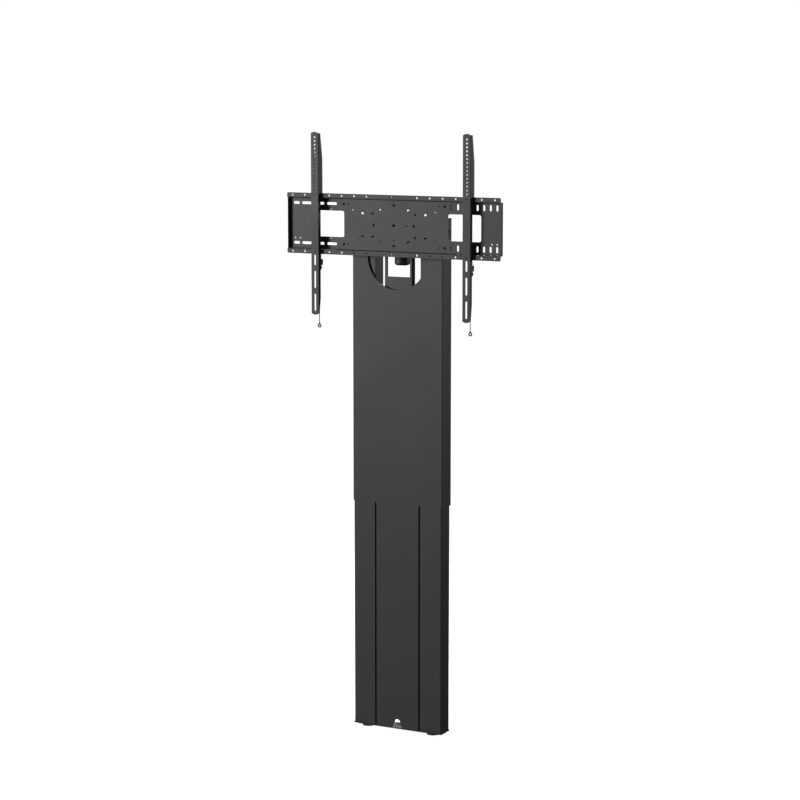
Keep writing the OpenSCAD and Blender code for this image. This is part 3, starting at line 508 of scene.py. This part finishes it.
for side in sides:
    ring = makePullRing(side)
    cord = makePullCord(side)
print("cords hung")


# each latch spring stands on the arm's tab. Its end turns lie a little closer together than the rest
latchSpring = {"y": -0.0595, "low": -0.175, "high": -0.1485, "width": 0.0064, "wire": 0.001, "turns": 6,
               "endTurns": 0.5, "closer": 0.35, "turnPoints": 24, "resolution": 3, "travel": 0.012}


def makeLatchSpring(side):
    v = latchSpring
    x = latchLine(side)
    radius = (v["width"] - v["wire"]) / 2
    low = arms["z"] + v["low"] + v["wire"] / 2
    rise = v["high"] - v["low"] - v["wire"]
    steps = v["turns"] * v["turnPoints"]
    closer = v["closer"] * v["endTurns"] / v["turns"]
    points = []
    for i in range(steps + 1):
        t = i / steps
        climb = t + closer * (math.cos(2 * math.pi * t) - 1.0) * (0.5 - t)
        angle = 2 * math.pi * v["turns"] * t
        points.append((x + radius * math.cos(angle), v["y"] + radius * math.sin(angle),
                       low + rise * climb))
    spring = addWire("latchSpring_" + side, points, v["wire"], v["resolution"])
    pick(spring)
    bpy.ops.object.convert(target="MESH")
    spring = bpy.context.object
    cleanNormals(spring)
    finishPiece(spring, "oiledSteel", "arm_" + side[0], ["latch_spring_" + side],
                angle=60.0)
    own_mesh(spring)


for side in sides:
    makeLatchSpring(side)
print("springs wound")


# where along its pitch a thread's root ends and its crest starts and ends. A rod is wound longer than
# it will be, and then cut to length
threadShape = {"rootEnd": 0.34, "crestStart": 0.46, "crestEnd": 0.88, "leadsBelow": 1.2, "moreTurns": 3}


# a threaded rod: one profile that a Screw modifier winds, cut flat at both ends
def threadedRod(name, middle, crest, depth, pitch, starts, low, high, steps):
    v = threadShape
    root = crest - depth
    profile = []
    for start in range(starts):
        base = start * pitch
        profile += [(root, base), (root, base + v["rootEnd"] * pitch),
                    (crest, base + v["crestStart"] * pitch), (crest, base + v["crestEnd"] * pitch)]
    lead = pitch * starts
    profile.append((root, lead))
    first = low - v["leadsBelow"] * lead
    rod = drawLine(name, [(middle[0] + r, middle[1], first + z) for r, z in profile])
    rod.data.transform(Matrix.Translation((-middle[0], -middle[1], 0.0)))
    turns = int(math.ceil((high - low) / lead)) + v["moreTurns"]
    applyModifier(rod, "SCREW", {"angle": 2 * math.pi, "screw_offset": lead, "iterations": turns,
                                 "steps": steps, "render_steps": steps, "axis": "Z",
                                 "use_merge_vertices": True, "merge_threshold": weldGap})
    editMode(rod)
    for height, above in ((low, False), (high, True)):
        bpy.ops.mesh.select_all(action="SELECT")
        bpy.ops.mesh.bisect(plane_co=(0.0, 0.0, height), plane_no=(0.0, 0.0, 1.0), use_fill=True,
                            clear_inner=not above, clear_outer=above)
    objectMode()
    rod.data.transform(Matrix.Translation((middle[0], middle[1], 0.0)))
    cleanNormals(rod)
    return rod


# a hexagon nut, its axis upright. A turned shape, a little wider than the nut's flats at both ends and
# wider than its corners between them, takes the corners down
def hexNut(name, middle, flats, height, chamfer):
    nut = addRod(name, (middle[0], middle[1], middle[2] + height / 2),
                 flats / 2 / math.cos(math.pi / 6), height, corners=6)
    face = flats / 2 + chamfer * 0.2
    wide = flats * 0.6
    cone = turnedPiece("cone", middle, [(0.0, -mm), (face, -mm), (face, 0.0), (wide, chamfer),
                                        (wide, height - chamfer), (face, height),
                                        (flats / 2, height + mm), (0.0, height + mm)])
    cutWith(nut, cone, "INTERSECT")
    return nut


# levelling feet: rubber-shod pads on threaded studs, locked by nuts on the base plate. The rings in
# the sole, the dish in the pad's top and the stud's collar are profiles in millimetres
feet = {"radius": 0.023, "height": 0.006, "round": 0.0015, "roundAngles": (0.0, 0.52, 1.05, 1.57),
        "groove": (0.0033, 0.0039), "grooveDepth": 0.0003,
        "sole": ((0.0, 1.0), (8.0, 1.0), (8.6, 0.0), (12.0, 0.0), (12.4, 0.8), (14.0, 0.8), (14.4, 0.0)),
        "dish": ((14.26, -0.1), (13.34, -0.6), (9.4, -0.6), (9.0, 0.0), (0.0, 0.0)),
        "collar": ((0.0, 0.0), (7.8, 0.0), (8.0, 0.3), (8.0, 0.8), (7.5, 1.2), (0.0, 1.2)),
        "studRadius": 0.005, "threadPitch": 0.0015, "threadDepth": 0.00065, "studLow": 0.0066,
        "studTop": 0.034, "nutLow": 0.0125, "nutFlats": 0.017, "nutHeight": 0.008,
        "nutChamfer": 0.0012, "nutPlay": 0.00005}


def makeFeet():
    v = feet
    height = v["height"]
    corner = quarterRound(v["radius"], v["round"], v["roundAngles"])
    low, high = v["groove"]
    rim = corner + grooveRound(v["radius"], v["grooveDepth"], low, high, v["grooveDepth"])
    rim += [(r, height - z) for r, z in reversed(corner)]
    locks = []
    for side, sign in sides.items():
        x, y = sign * spindles["x"], spindles["y"]
        pad = turnedPiece("footPad_" + side, (x, y, 0.0),
                          profilePart(v["sole"]) + rim + profilePart(v["dish"], height), steps=72)
        finishPiece(pad, "mouldedRubber", "foot_" + side, ["foot_pad_" + side])
        stud = threadedRod("stud", (x, y, 0.0), v["studRadius"], v["threadDepth"], v["threadPitch"], 1,
                           v["studLow"], v["studTop"], steps=24)
        collar = turnedPiece("collar", (x, y, 0.0), profilePart(v["collar"], height))
        stud = joinPieces("footStud_" + side, [stud, collar])
        finishPiece(stud, "zincPlate", "foot_" + side, ["foot_stud_" + side])
        nut = hexNut("nut", (x, y, v["nutLow"]), v["nutFlats"], v["nutHeight"], v["nutChamfer"])
        bore = addRod("bore", (x, y, v["nutLow"] + v["nutHeight"] / 2), v["studRadius"] + v["nutPlay"],
                      2.5 * v["nutHeight"])
        cutWith(nut, bore)
        locks.append(nut)
    nuts = joinPieces("footNuts", locks)
    finishPiece(nuts, "zincPlate", "column", ["foot_nuts"], angle=30.0)


makeFeet()
print("feet turned")


# the base plate's cable slot is closed by a rubber grommet: a lip above and below the plate, and a thin
# skin with a slit between two blind nipples that are cut open where a cable is wanted
grommetValues = {"y": 0.034, "radius": 0.009, "run": 0.021, "plateLow": 0.0085, "plateTop": 0.0125,
                 "lip": 0.0016, "lipHeight": 0.0009, "lipRound": 0.0005, "slope": (0.0026, 0.0016),
                 "skinLow": 0.0098, "skinTop": 0.0110, "slit": (0.0095, 0.0008), "nippleAt": 0.0150,
                 "nippleRadius": 0.0036, "nippleLow": 0.0066, "nippleTop": 0.0108,
                 "nippleRound": 0.0014, "wall": 0.0008}


def makeNipple(x):
    v = grommetValues
    inner, outer = v["nippleRadius"], v["nippleRadius"] + v["wall"]
    low, floor = v["nippleLow"], v["nippleLow"] + v["wall"]
    bend = low + v["nippleRound"]
    return turnedPiece("nipple", (x, v["y"], 0.0),
                       [(0.0, low), (outer - v["nippleRound"], low), (outer, bend),
                        (outer, v["nippleTop"]), (inner, v["nippleTop"]), (inner, bend),
                        (inner - mm, floor), (0.0, floor)], steps=40)


def makeGrommet():
    v = grommetValues
    radius, edge, lift = v["radius"], v["radius"] + v["lip"], v["lipHeight"]
    low, top = v["plateLow"], v["plateTop"]
    skinEdge, slopeEnd = radius - v["slope"][0], radius - v["slope"][1]
    flat = edge - v["lipRound"]
    grommet = turnedPiece("cableGrommet", (0.0, v["y"], 0.0),
                          [(0.0, v["skinLow"]), (skinEdge, v["skinLow"]), (slopeEnd, low - lift),
                           (flat, low - lift), (edge, low - lift / 2), (edge, low), (radius, low),
                           (radius, top), (edge, top), (edge, top + lift / 2), (flat, top + lift),
                           (slopeEnd, top + lift), (skinEdge, v["skinTop"]), (0.0, v["skinTop"])],
                          steps=96)
    for vertex in grommet.data.vertices:  # the two halves of the round move apart to the slot's ends
        if abs(vertex.co.x) > 0.01 * mm:
            vertex.co.x += math.copysign(v["run"], vertex.co.x)
    length, width = v["slit"]
    cutters = [addBlock("slit", (-length, v["y"] - width, v["skinLow"] - mm),
                        (length, v["y"] + width, v["skinTop"] + mm))]
    nipples = []
    for sign in sides.values():
        x = sign * v["nippleAt"]
        cutters.append(addRod("bore", (x, v["y"], v["skinLow"]), v["nippleRadius"], 4 * mm, corners=40))
        nipples.append(makeNipple(x))
    cutWith(grommet, joinPieces("cutters", cutters))
    grommet = joinPieces("cableGrommet", [grommet] + nipples)
    finishPiece(grommet, "greyRubber", "column", (), angle=40.0)


makeGrommet()
print("cable grommet moulded")


# a black eyelet narrows the middle hole of each of the plate's flanges. Its outline is in millimetres,
# up from the flange's front
eyeletValues = {"rows": (-0.100, 0.100), "front": -0.0515,
                "outline": ((2.3, -3.0), (3.2, -3.0), (3.2, 0.0), (4.2, 0.0), (4.4, 0.2), (3.9, 0.5),
                            (2.7, 0.5), (2.3, 0.2), (2.3, -3.0))}


def makeEyelets():
    v = eyeletValues
    low, high = v["rows"]
    eyelet = turnedPiece("flangeEyelet_low", (0.0, 0.0, 0.0), profilePart(v["outline"]), steps=40)
    eyelet.data.transform(Matrix.Rotation(math.pi / 2, 4, "X"))
    eyelet.data.transform(Matrix.Translation((0.0, v["front"], arms["z"] + low)))
    other = copyPiece(eyelet, "flangeEyelet_high", (0.0, 0.0, high - low))
    for piece in (eyelet, other):
        finishPiece(piece, "blackSteelAndPaintedShade", "carriage", (), angle=40.0)


makeEyelets()
print("eyelets pressed in")


# lifting spindles: a five-start trapezoidal thread with 20 mm of lead, and above it a plain shank with
# a collar under the bevel box
spindleValues = {"radius": 0.008, "threadPitch": 0.004, "starts": 5, "threadDepth": 0.0017,
                 "low": 0.700, "noseTop": 0.708, "noseChamfer": 0.0008, "threadLow": 0.706,
                 "threadHigh": 1.760, "runOut": 0.001, "neckLow": 1.785, "neckDepth": 0.0005,
                 "collarLow": 1.788, "collarTop": 1.7957, "collarRadius": 0.013,
                 "collarChamfer": 0.0005, "top": 1.812, "topChamfer": 0.0006}


def makeSpindle(side):
    v = spindleValues
    middle = (sides[side] * spindles["x"], spindles["y"], 0.0)
    radius = v["radius"]
    root, neck = radius - v["threadDepth"], radius - v["neckDepth"]
    thread = threadedRod("thread", middle, radius, v["threadDepth"], v["threadPitch"], v["starts"],
                         v["threadLow"], v["threadHigh"], steps=30)
    nose = turnedPiece("nose", middle,
                       [(0.0, v["low"]), (root - v["noseChamfer"], v["low"]),
                        (root, v["low"] + v["noseChamfer"]), (root, v["noseTop"]),
                        (0.0, v["noseTop"])], steps=40)
    shank = turnedPiece("shank", middle,
                        [(0.0, v["threadHigh"] - v["runOut"]), (root, v["threadHigh"] - v["runOut"]),
                         (radius, v["threadHigh"] + v["runOut"]), (radius, v["neckLow"] - mm),
                         (neck, v["neckLow"]), (neck, v["collarLow"])]
                        + cutRim(v["collarRadius"], v["collarLow"], v["collarTop"], v["collarChamfer"])
                        + [(radius, v["collarTop"]), (radius, v["top"] - v["topChamfer"]),
                           (radius - v["topChamfer"], v["top"]), (0.0, v["top"])])
    spindle = joinPieces("spindleScrew_" + side, [thread, nose, shank])
    finishPiece(spindle, "oiledSteel", "spindle_" + side[0], ["spindle_" + side])


for side in sides:
    makeSpindle(side)
print("spindles threaded")


# a round screw head that stands on its seat, with a socket in the face that looks away from it
def screwHead(seat, axis, way, values):
    index = "xyz".index(axis)
    middle = list(seat)
    middle[index] += way * values["height"] / 2
    head = addRod("screwHead", middle, values["radius"], values["height"], axis, corners=24)
    if values["bevel"] > 0.0:
        bevelEdges(head, lambda a, b: min(way * (p[index] - middle[index]) for p in (a, b)) > 0.0,
                   values["bevel"], segments=2)
    sink = [0.0, 0.0, 0.0]
    sink[index] = -way * values["socketDepth"]
    panel(head, lambda c, n: way * n[index] > 0.95, values["socketInset"], sink)
    return head


# the heads of screws that stand evenly in a round, starting at an angle in degrees
def screwRound(count, radius, middle, height, start, way, values):
    heads = []
    for i in range(count):
        angle = math.radians(start) + i * 2 * math.pi / count
        seat = (middle[0] + radius * math.cos(angle), middle[1] + radius * math.sin(angle), height)
        heads.append(screwHead(seat, "z", way, values))
    return heads


# spindle nuts: flanged brass bushes with a groove round the barrel, held down by four screws
nutValues = {"low": 0.740, "top": 0.775, "bore": 0.00806, "radius": 0.0135, "flangeRadius": 0.0175,
             "flange": 0.006, "chamfer": 0.0006, "groove": (0.015, 0.017), "grooveDepth": 0.0008,
             "shoulder": (0.0015, 0.002), "mouth": 0.0008, "screws": 4, "screwStart": 45.0,
             "screwAt": 0.0153,
             "screw": {"radius": 0.0019, "height": 0.0010, "bevel": 0.0, "socketInset": 0.0007,
                       "socketDepth": 0.0006}}


def makeSpindleNut(side):
    v = nutValues
    middle = (sides[side] * spindles["x"], spindles["y"], v["low"])
    bore, radius, height = v["bore"], v["radius"], v["top"] - v["low"]
    low, high = v["groove"]
    inwards, down = v["shoulder"]
    body = turnedPiece("body", middle,
                       [(bore, v["chamfer"]), (bore + v["chamfer"], 0.0)]
                       + cutRim(v["flangeRadius"], 0.0, v["flange"], v["chamfer"])
                       + [(radius, v["flange"])] + grooveRound(radius, v["grooveDepth"], low, high, mm)
                       + [(radius, height - down), (radius - inwards, height),
                          (bore + v["mouth"], height), (bore, height - v["mouth"]),
                          (bore, v["chamfer"])], steps=64)
    heads = screwRound(v["screws"], v["screwAt"], middle, v["low"] + v["flange"],
                       v["screwStart"], 1, v["screw"])
    nut = joinPieces("spindleNut_" + side, [body] + heads)
    finishPiece(nut, "turnedBrass", "column", ["spindle_nut_" + side])


for side in sides:
    makeSpindleNut(side)
print("spindle nuts turned")


# the gear motor's drawn can: a rounded cap with a recess and three screws, two rolled beads, and a rim
# under the gear housing. The recess and the rim are profiles in millimetres, the rim's from the top
motorValues = {"y": 0.0305, "low": 1.684, "high": 1.790, "radius": 0.0275, "round": 0.009,
               "roundAngles": [math.pi / 2 * i / 8 for i in range(9)],
               "recess": ((0.0, 1.2), (7.0, 1.2), (7.6, 0.0)), "bead": 0.0006,
               "beads": ((0.0206, 0.0218), (0.0646, 0.0658)),
               "rim": ((27.5, -7.0), (25.9, -6.4), (25.9, -5.4), (27.5, -5.0), (27.5, -0.4),
                       (27.1, 0.0), (0.0, 0.0)),
               "screws": 3, "screwStart": 90.0, "screwAt": 0.014, "screwSeat": 0.0003,
               "screw": {"radius": 0.0026, "height": 0.0012, "bevel": 0.0, "socketInset": 0.0009,
                         "socketDepth": 0.0007}}


def makeMotor():
    v = motorValues
    middle = (0.0, v["y"], v["low"])
    profile = profilePart(v["recess"]) + quarterRound(v["radius"], v["round"], v["roundAngles"])
    for low, high in v["beads"]:
        profile += grooveRound(v["radius"], v["bead"], low, high, v["bead"])
    profile += profilePart(v["rim"], v["high"] - v["low"])
    can = turnedPiece("can", middle, profile, steps=96)
    heads = screwRound(v["screws"], v["screwAt"], middle, v["low"] + v["screwSeat"],
                       v["screwStart"], -1, v["screw"])
    motor = joinPieces("motorCan", [can] + heads)
    finishPiece(motor, "stoveEnamel", "carriage", ["motor"], angle=40.0)


makeMotor()
print("motor made")


# cast housings: rounded blocks with a screwed cover sunk in their back, and bosses for the cross shaft
housings = {
    "gearHousing": {"low": (-0.034, 0.003, 1.790), "high": (0.034, 0.054, 1.846),
                    "node": "gear_housing", "boss": (-0.042, 0.042, 0.014), "round": 0.005,
                    "border": 0.0045, "deep": 0.0016},
    "bevelBox_right": {"low": (0.097, -0.0005, 1.796), "high": (0.157, 0.0375, 1.848),
                       "node": "bevel_box_right", "boss": (0.0908, 0.0975, 0.012), "round": 0.004,
                       "border": 0.004, "deep": 0.0014},
}
shaftLine = {"y": 0.0185, "z": 1.822}
coverValues = {"gap": 0.0012, "rise": 0.7, "edge": 0.0006, "bossEdge": 0.0008, "screwInset": 0.0042,
               "screwSeat": 0.0004,
               "screw": {"radius": 0.0022, "height": 0.0014, "bevel": 0.0004, "socketInset": 0.00099,
                         "socketDepth": 0.0008}}


def makeHousing(name, v):
    low, high, back = v["low"], v["high"], v["high"][1]
    cover = coverValues
    box = addBlock(name, low, high)
    bevelEdges(box, runsAlong("z"), v["round"], segments=5)
    panel(box, lambda c, n: n.y > 0.99, v["border"], (0.0, -v["deep"], 0.0))
    panel(box, lambda c, n: n.y > 0.99 and c.y < back - v["deep"] / 2, cover["gap"],
          (0.0, v["deep"] * cover["rise"], 0.0))
    softEdges(box, cover["edge"])
    parts = [box]
    seat = back - v["deep"] * (1.0 - cover["rise"]) - cover["screwSeat"]
    inset = v["border"] + cover["screwInset"]
    for x in (low[0] + inset, high[0] - inset):
        for z in (low[2] + inset, high[2] - inset):
            parts.append(screwHead((x, seat, z), "y", 1, cover["screw"]))
    start, end, radius = v["boss"]
    boss = addRod("boss", ((start + end) / 2, shaftLine["y"], shaftLine["z"]), radius, end - start, "x")
    bevelEdges(boss, lambda a, b: abs(a.x - b.x) < mm, cover["bossEdge"], segments=2)
    parts.append(boss)
    housing = joinPieces(name, parts)
    finishPiece(housing, "castAluminium", "carriage", [v["node"]], angle=40.0)
    return housing


for name, values in housings.items():
    housing = makeHousing(name, values)
    if name.endswith("_right"):
        other = mirroredPiece(housing, name.replace("right", "left"))
        finishPiece(other, "castAluminium", "carriage", [values["node"].replace("right", "left")],
                    angle=40.0)
print("housings cast")


# control box behind the middle panel: a two-part shell with a seam, louvres, three sockets with room
# for their latches, the hole for the mains inlet and two mounting ears. A socket's parts and an ear
# give half a width and the depth from front to back
controlBox = {"low": (-0.065, 0.020, 0.090), "high": (0.065, 0.0555, 0.250), "round": 0.004,
              "edge": 0.00035, "seamAt": 0.042, "seamWidth": 0.0008, "seamDepth": 0.0006,
              "louvres": 8, "louvreFrom": -0.043, "louvreStep": 0.0055, "louvreWidth": 0.0026,
              "louvreHeights": (0.178, 0.228), "louvreDepth": 0.0016, "louvreRound": 0.0012,
              "sockets": (-0.040, -0.024, -0.008), "socketTop": 0.101,
              "socketParts": ((0.0056, 0.0300, 0.0400), (0.0024, 0.0390, 0.0425)),
              "inletHole": ((0.019, 0.025), (0.051, 0.051)), "inletTop": 0.0962,
              "ear": (0.058, 0.0515, 0.0535), "earHeights": (0.084, 0.242), "earHeight": 0.016,
              "earRound": 0.003}


def controlBoxCutters():
    v = controlBox
    back, under = v["high"][1], v["low"][2] - 2 * mm
    cutters = []
    for i in range(v["louvres"]):
        x = v["louvreFrom"] + i * v["louvreStep"]
        low, high = v["louvreHeights"]
        louvre = addBlock("louvre", (x, back - v["louvreDepth"], low),
                          (x + v["louvreWidth"], back + 2 * mm, high))
        bevelEdges(louvre, runsAlong("y"), v["louvreRound"], segments=3)
        cutters.append(louvre)
    for x in v["sockets"]:
        for half, near, far in v["socketParts"]:
            cutters.append(addBlock("socket", (x - half, near, under), (x + half, far, v["socketTop"])))
    (x0, y0), (x1, y1) = v["inletHole"]
    cutters.append(addBlock("inletHole", (x0, y0, under), (x1, y1, v["inletTop"])))
    return joinPieces("cutters", cutters)


def makeControlBox():
    v = controlBox
    shell = addBlock("controlBox", v["low"], v["high"])
    bevelEdges(shell, runsAlong("z"), v["round"], segments=4)
    seam = v["seamAt"] + v["seamWidth"] / 2
    editMode(shell)
    for place in (v["seamAt"], v["seamAt"] + v["seamWidth"]):
        bpy.ops.mesh.select_all(action="SELECT")
        bpy.ops.mesh.bisect(plane_co=(0.0, place, 0.0), plane_no=(0.0, 1.0, 0.0))
    selectFaces(shell, lambda c, n: abs(c.y - seam) < 0.1 * mm and abs(n.y) < 0.1)
    bpy.ops.mesh.inset(thickness=0.0, depth=-v["seamDepth"], use_boundary=True)
    objectMode()
    cutWith(shell, controlBoxCutters(), selfCrossing=True)
    softEdges(shell, v["edge"])
    parts = [shell]
    half, near, far = v["ear"]
    for z in v["earHeights"]:
        ear = addBlock("ear", (-half, near, z), (half, far, z + v["earHeight"]))
        bevelEdges(ear, runsAlong("y"), v["earRound"], segments=3)
        parts.append(ear)
    box = joinPieces("controlBox", parts)
    finishPiece(box, "grainedAbs", "column", ["control_box"], angle=40.0)


makeControlBox()


# mains inlet: a keyed socket with three flat pins that a lead plugs into from below
inletValues = {"low": (0.0192, 0.0252, 0.086), "high": (0.0508, 0.0508, 0.096), "round": 0.0012,
               "edge": 0.0003, "floor": 0.094, "mouth": ((0.023, 0.029), (0.047, 0.047)),
               "keyRound": 0.0045, "mouthRound": 0.001, "pinHalf": (0.001, 0.002), "pinLow": 0.091,
               "pinRoot": 0.0005, "pinTip": 0.0004,
               "pins": ((0.029, 0.036), (0.041, 0.036), (0.035, 0.042))}


def makeInlet():
    v = inletValues
    upright = runsAlong("z")
    body = addBlock("powerInlet", v["low"], v["high"])
    bevelEdges(body, upright, v["round"], segments=3)
    (x0, y0), (x1, y1) = v["mouth"]
    halfway = (y0 + y1) / 2
    mouth = addBlock("mouth", (x0, y0, v["low"][2] - 2 * mm), (x1, y1, v["floor"]))
    bevelEdges(mouth, lambda a, b: upright(a, b) and a.y > halfway, v["keyRound"], segments=2)
    bevelEdges(mouth, lambda a, b: upright(a, b) and a.y < y0 + mm, v["mouthRound"], segments=2)
    cutWith(body, mouth)
    softEdges(body, v["edge"])
    parts = [body]
    thick, wide = v["pinHalf"]
    for x, y in v["pins"]:
        pin = addBlock("pin", (x - thick, y - wide, v["pinLow"]),
                       (x + thick, y + wide, v["floor"] + v["pinRoot"]))
        bevelEdges(pin, lambda a, b: max(a.z, b.z) < v["pinLow"] + 0.1 * mm, v["pinTip"], segments=2)
        parts.append(pin)
    inlet = joinPieces("powerInlet", parts)
    finishPiece(inlet, "grainedAbs", "column", ["power_inlet"], angle=40.0)


makeInlet()
print("control box and inlet moulded")


# latches: moulded blocks with a sprung finger behind the plate's flange, a stem that the cord hangs
# on, grip grooves on the back, a pocket in each side and a slot for the pin. The section and all
# heights are given from the plate's centre
latchValues = {"low": -0.005, "width": 0.0105, "edge": 0.00045,
               "section": ((-0.0635, -0.1485), (-0.0635, -0.127), (-0.0491, -0.127),
                           (-0.0491, -0.104), (-0.0455, -0.099), (-0.0435, -0.099),
                           (-0.0435, -0.127), (-0.0325, -0.127), (-0.0305, -0.129),
                           (-0.0305, -0.1485)),
               "stemHalf": 0.0045, "stem": ((-0.0555, -0.175), (-0.046, -0.147)),
               "pin": (-0.051, -0.1555), "pinRadius": 0.003, "gap": 0.0003, "travel": 0.012,
               "slotLength": 0.04,
               "grooves": 4, "grooveFrom": -0.1455, "grooveStep": 0.0038, "grooveHeight": 0.0016,
               "grooveEnd": 0.0015, "grooveDepths": (-0.0315, -0.029),
               "pocket": ((-0.0435, -0.1455), (-0.0345, -0.1305)), "pocketDepth": 0.0012}


# the latch's block, drawn as a section and pulled out to its width
def latchBlock(x, z):
    v = latchValues
    block = drawLine("block", [(x, y, z + height) for y, height in v["section"]])
    editMode(block)
    bpy.ops.mesh.select_all(action="SELECT")
    bpy.ops.mesh.edge_face_add()
    bpy.ops.mesh.extrude_region_move(TRANSFORM_OT_translate={"value": (v["width"], 0.0, 0.0)})
    bpy.ops.mesh.select_all(action="SELECT")
    bpy.ops.mesh.normals_make_consistent(inside=False)
    objectMode()
    return block


# a rod for the pin, with its upper half moved up by the latch's travel
def pinSlot(x, z):
    v = latchValues
    y, height = v["pin"]
    slot = addRod("slot", (x, y, z + height), v["pinRadius"] + v["gap"], v["slotLength"], "x",
                  corners=40)
    editMode(slot)
    selectFaces(slot, lambda c, n: n.z > 0.05 and abs(n.x) < 0.5)
    bpy.ops.transform.translate(value=(0.0, 0.0, v["travel"]))
    objectMode()
    return slot


def makeLatch(side):
    v = latchValues
    x, z = latchLine(side), arms["z"]
    left, right = x + v["low"], x + v["low"] + v["width"]
    block = latchBlock(left, z)
    (near, low), (far, high) = v["stem"]
    stem = addBlock("stem", (x - v["stemHalf"], near, z + low), (x + v["stemHalf"], far, z + high))
    cutWith(block, stem, "UNION")
    cutWith(block, pinSlot(x, z))
    cutters = []
    near, far = v["grooveDepths"]
    for i in range(v["grooves"]):
        height = z + v["grooveFrom"] + i * v["grooveStep"]
        cutters.append(addBlock("groove", (left + v["grooveEnd"], near, height),
                                (right - v["grooveEnd"], far, height + v["grooveHeight"])))
    (near, low), (far, high) = v["pocket"]
    for face in (left, right):
        cutters.append(addBlock("pocket", (face - v["pocketDepth"], near, z + low),
                                (face + v["pocketDepth"], far, z + high)))
    cutWith(block, joinPieces("cutters", cutters))
    softEdges(block, v["edge"], 40.0)
    block.name = "latchBlock_" + side
    block.data.name = block.name
    finishPiece(block, "filledNylon", "latch_" + side[0], ["latch_" + side],
                angle=40.0)


for side in sides:
    makeLatch(side)
print("latches moulded")


# the finish of each CAD node that shows as it is
nodeFinishes = {
    "powderCoat": ["column_left", "column_right", "centre_panel", "upper_cover", "tv_plate",
                   "wall_bracket_lower", "wall_bracket_upper", "post_left", "post_right",
                   "mast_channel", "base_plate"],
    "armCoatPaintedShade": ["arm_left", "arm_right"],
    "innerCoatPaintedShade": ["centre_frame_lower", "centre_frame_upper", "head_beam", "carrier", "rail_upper",
                  "rail_lower"],
    "zincPlate": ["base_screws", "bracket_bolts", "nut_tube_left", "nut_tube_right", "cover_spacers"],
    "blackSteelAndPaintedShade": ["cover_screws", "carrier_bolts", "plate_bolts", "plate_spacers", "arm_pin_left",
                   "arm_pin_right"],
    "oiledSteel": ["drive_shaft"],
    "acetal": ["post_glides_left", "post_glides_right", "column_glides_left", "column_glides_right"],
}
for finishName, names in nodeFinishes.items():
    for name in names:
        piece = nodes[name]
        if not piece.data.materials:
            piece.data.materials.append(finish[finishName])
        for place in piece.material_slots:
            place.material = finish[finishName]
print("finishes put on the frame's nodes")


# a pale floor under plain soft studio light: a low soft sun from the front left, and four lamps. The
# floor glows a little, so that it stays white in every shadow
studio = {"floorDark": "#ececec", "floorLight": "#f2f2f2", "floorSize": 120.0, "floorGlow": 0.92,
          "floorRoughness": 0.9, "floorClouds": {"Scale": 2.0, "Detail": 2.0}, "surround": 0.10}
sun = {"towards": (-0.68, -0.73, 0.09), "strength": 1.85, "soft": 20.0, "away": 6.0}
lamps = {
    "top": {"place": (-2.6, -2.5, 2.10), "aim": (0.0, 0.0, 2.0), "size": 0.9, "power": 4.4,
            "spread": 54.0},
    "rightSide": {"place": (3.6, 3.0, 2.7), "aim": (0.1, 0.0, 1.6), "size": 1.4, "power": 6.4,
                  "spread": 50.0},
    "behind": {"place": (-1.4, 3.0, 5.1), "aim": (0.0, 0.0, 1.0), "size": 1.8, "power": 80.0,
               "spread": 80.0},
    "lowBehind": {"place": (-1.7, 3.7, 1.2), "aim": (0.0, 0.0, 0.0), "size": 1.0, "power": 0.6,
                  "spread": 24.0},
}


def addFloor(values):
    objectMode()
    bpy.ops.mesh.primitive_circle_add(vertices=96, radius=values["floorSize"] / 2, fill_type="NGON")
    floor = settle("floor")
    constants = {"Roughness": values["floorRoughness"], "Specular IOR Level": 0.0,
                 "Emission Color": (1.0, 1.0, 1.0, 1.0), "Emission Strength": values["floorGlow"]}
    material, tree, shader, place = startMaterial("floorPaint", constants)
    shade = addNode(tree, "ShaderNodeTexNoise", inputs=values["floorClouds"], links={"Vector": place})
    colour = addNode(tree, "ShaderNodeMix", {"data_type": "RGBA"},
                     {"A": toLinear(values["floorDark"]), "B": toLinear(values["floorLight"])},
                     {"Factor": shade.outputs["Fac"]})
    tree.links.new(colour.outputs["Result"], shader.inputs["Base Color"])
    floor.data.materials.append(material)
    floor.visible_diffuse = False  # its white would wash out the undersides and the side sheets
    floor.visible_glossy = False


def placeLight(name, data, place, aim):
    light = bpy.data.objects.new(name, data)
    light.location = place
    light.rotation_euler = (Vector(aim) - Vector(place)).to_track_quat("-Z", "Y").to_euler()
    bpy.context.scene.collection.objects.link(light)


def addSun(name, values):
    data = bpy.data.lights.new(name, "SUN")
    data.energy = values["strength"]
    data.angle = math.radians(values["soft"])
    placeLight(name, data, [values["away"] * part for part in values["towards"]], (0.0, 0.0, 0.0))


def addLamp(name, values):
    data = bpy.data.lights.new(name, "AREA")
    data.size = values["size"]
    data.energy = values["power"]
    data.spread = math.radians(values["spread"])
    placeLight(name, data, values["place"], values["aim"])


# the surround is white to the eye, and dim as a light, so that recesses stay dark
def addSurround(values):
    world = bpy.data.worlds.new("surround")
    world.use_nodes = True
    bpy.context.scene.world = world
    tree = world.node_tree
    tree.nodes.clear()
    ray = addNode(tree, "ShaderNodeLightPath")
    strength = addNode(tree, "ShaderNodeMapRange",
                       inputs={"To Min": values["surround"], "To Max": 1.0},
                       links={"Value": ray.outputs["Is Camera Ray"]})
    glow = addNode(tree, "ShaderNodeBackground", inputs={"Color": (1.0, 1.0, 1.0, 1.0)},
                   links={"Strength": strength.outputs["Result"]})
    addNode(tree, "ShaderNodeOutputWorld", links={"Surface": glow.outputs["Background"]})


addFloor(studio)
addSurround(studio)
addSun("key", sun)
for name, values in lamps.items():
    addLamp(name, values)
bpy.context.scene.view_settings.view_transform = "Standard"
print("studio lit")

objectMode()
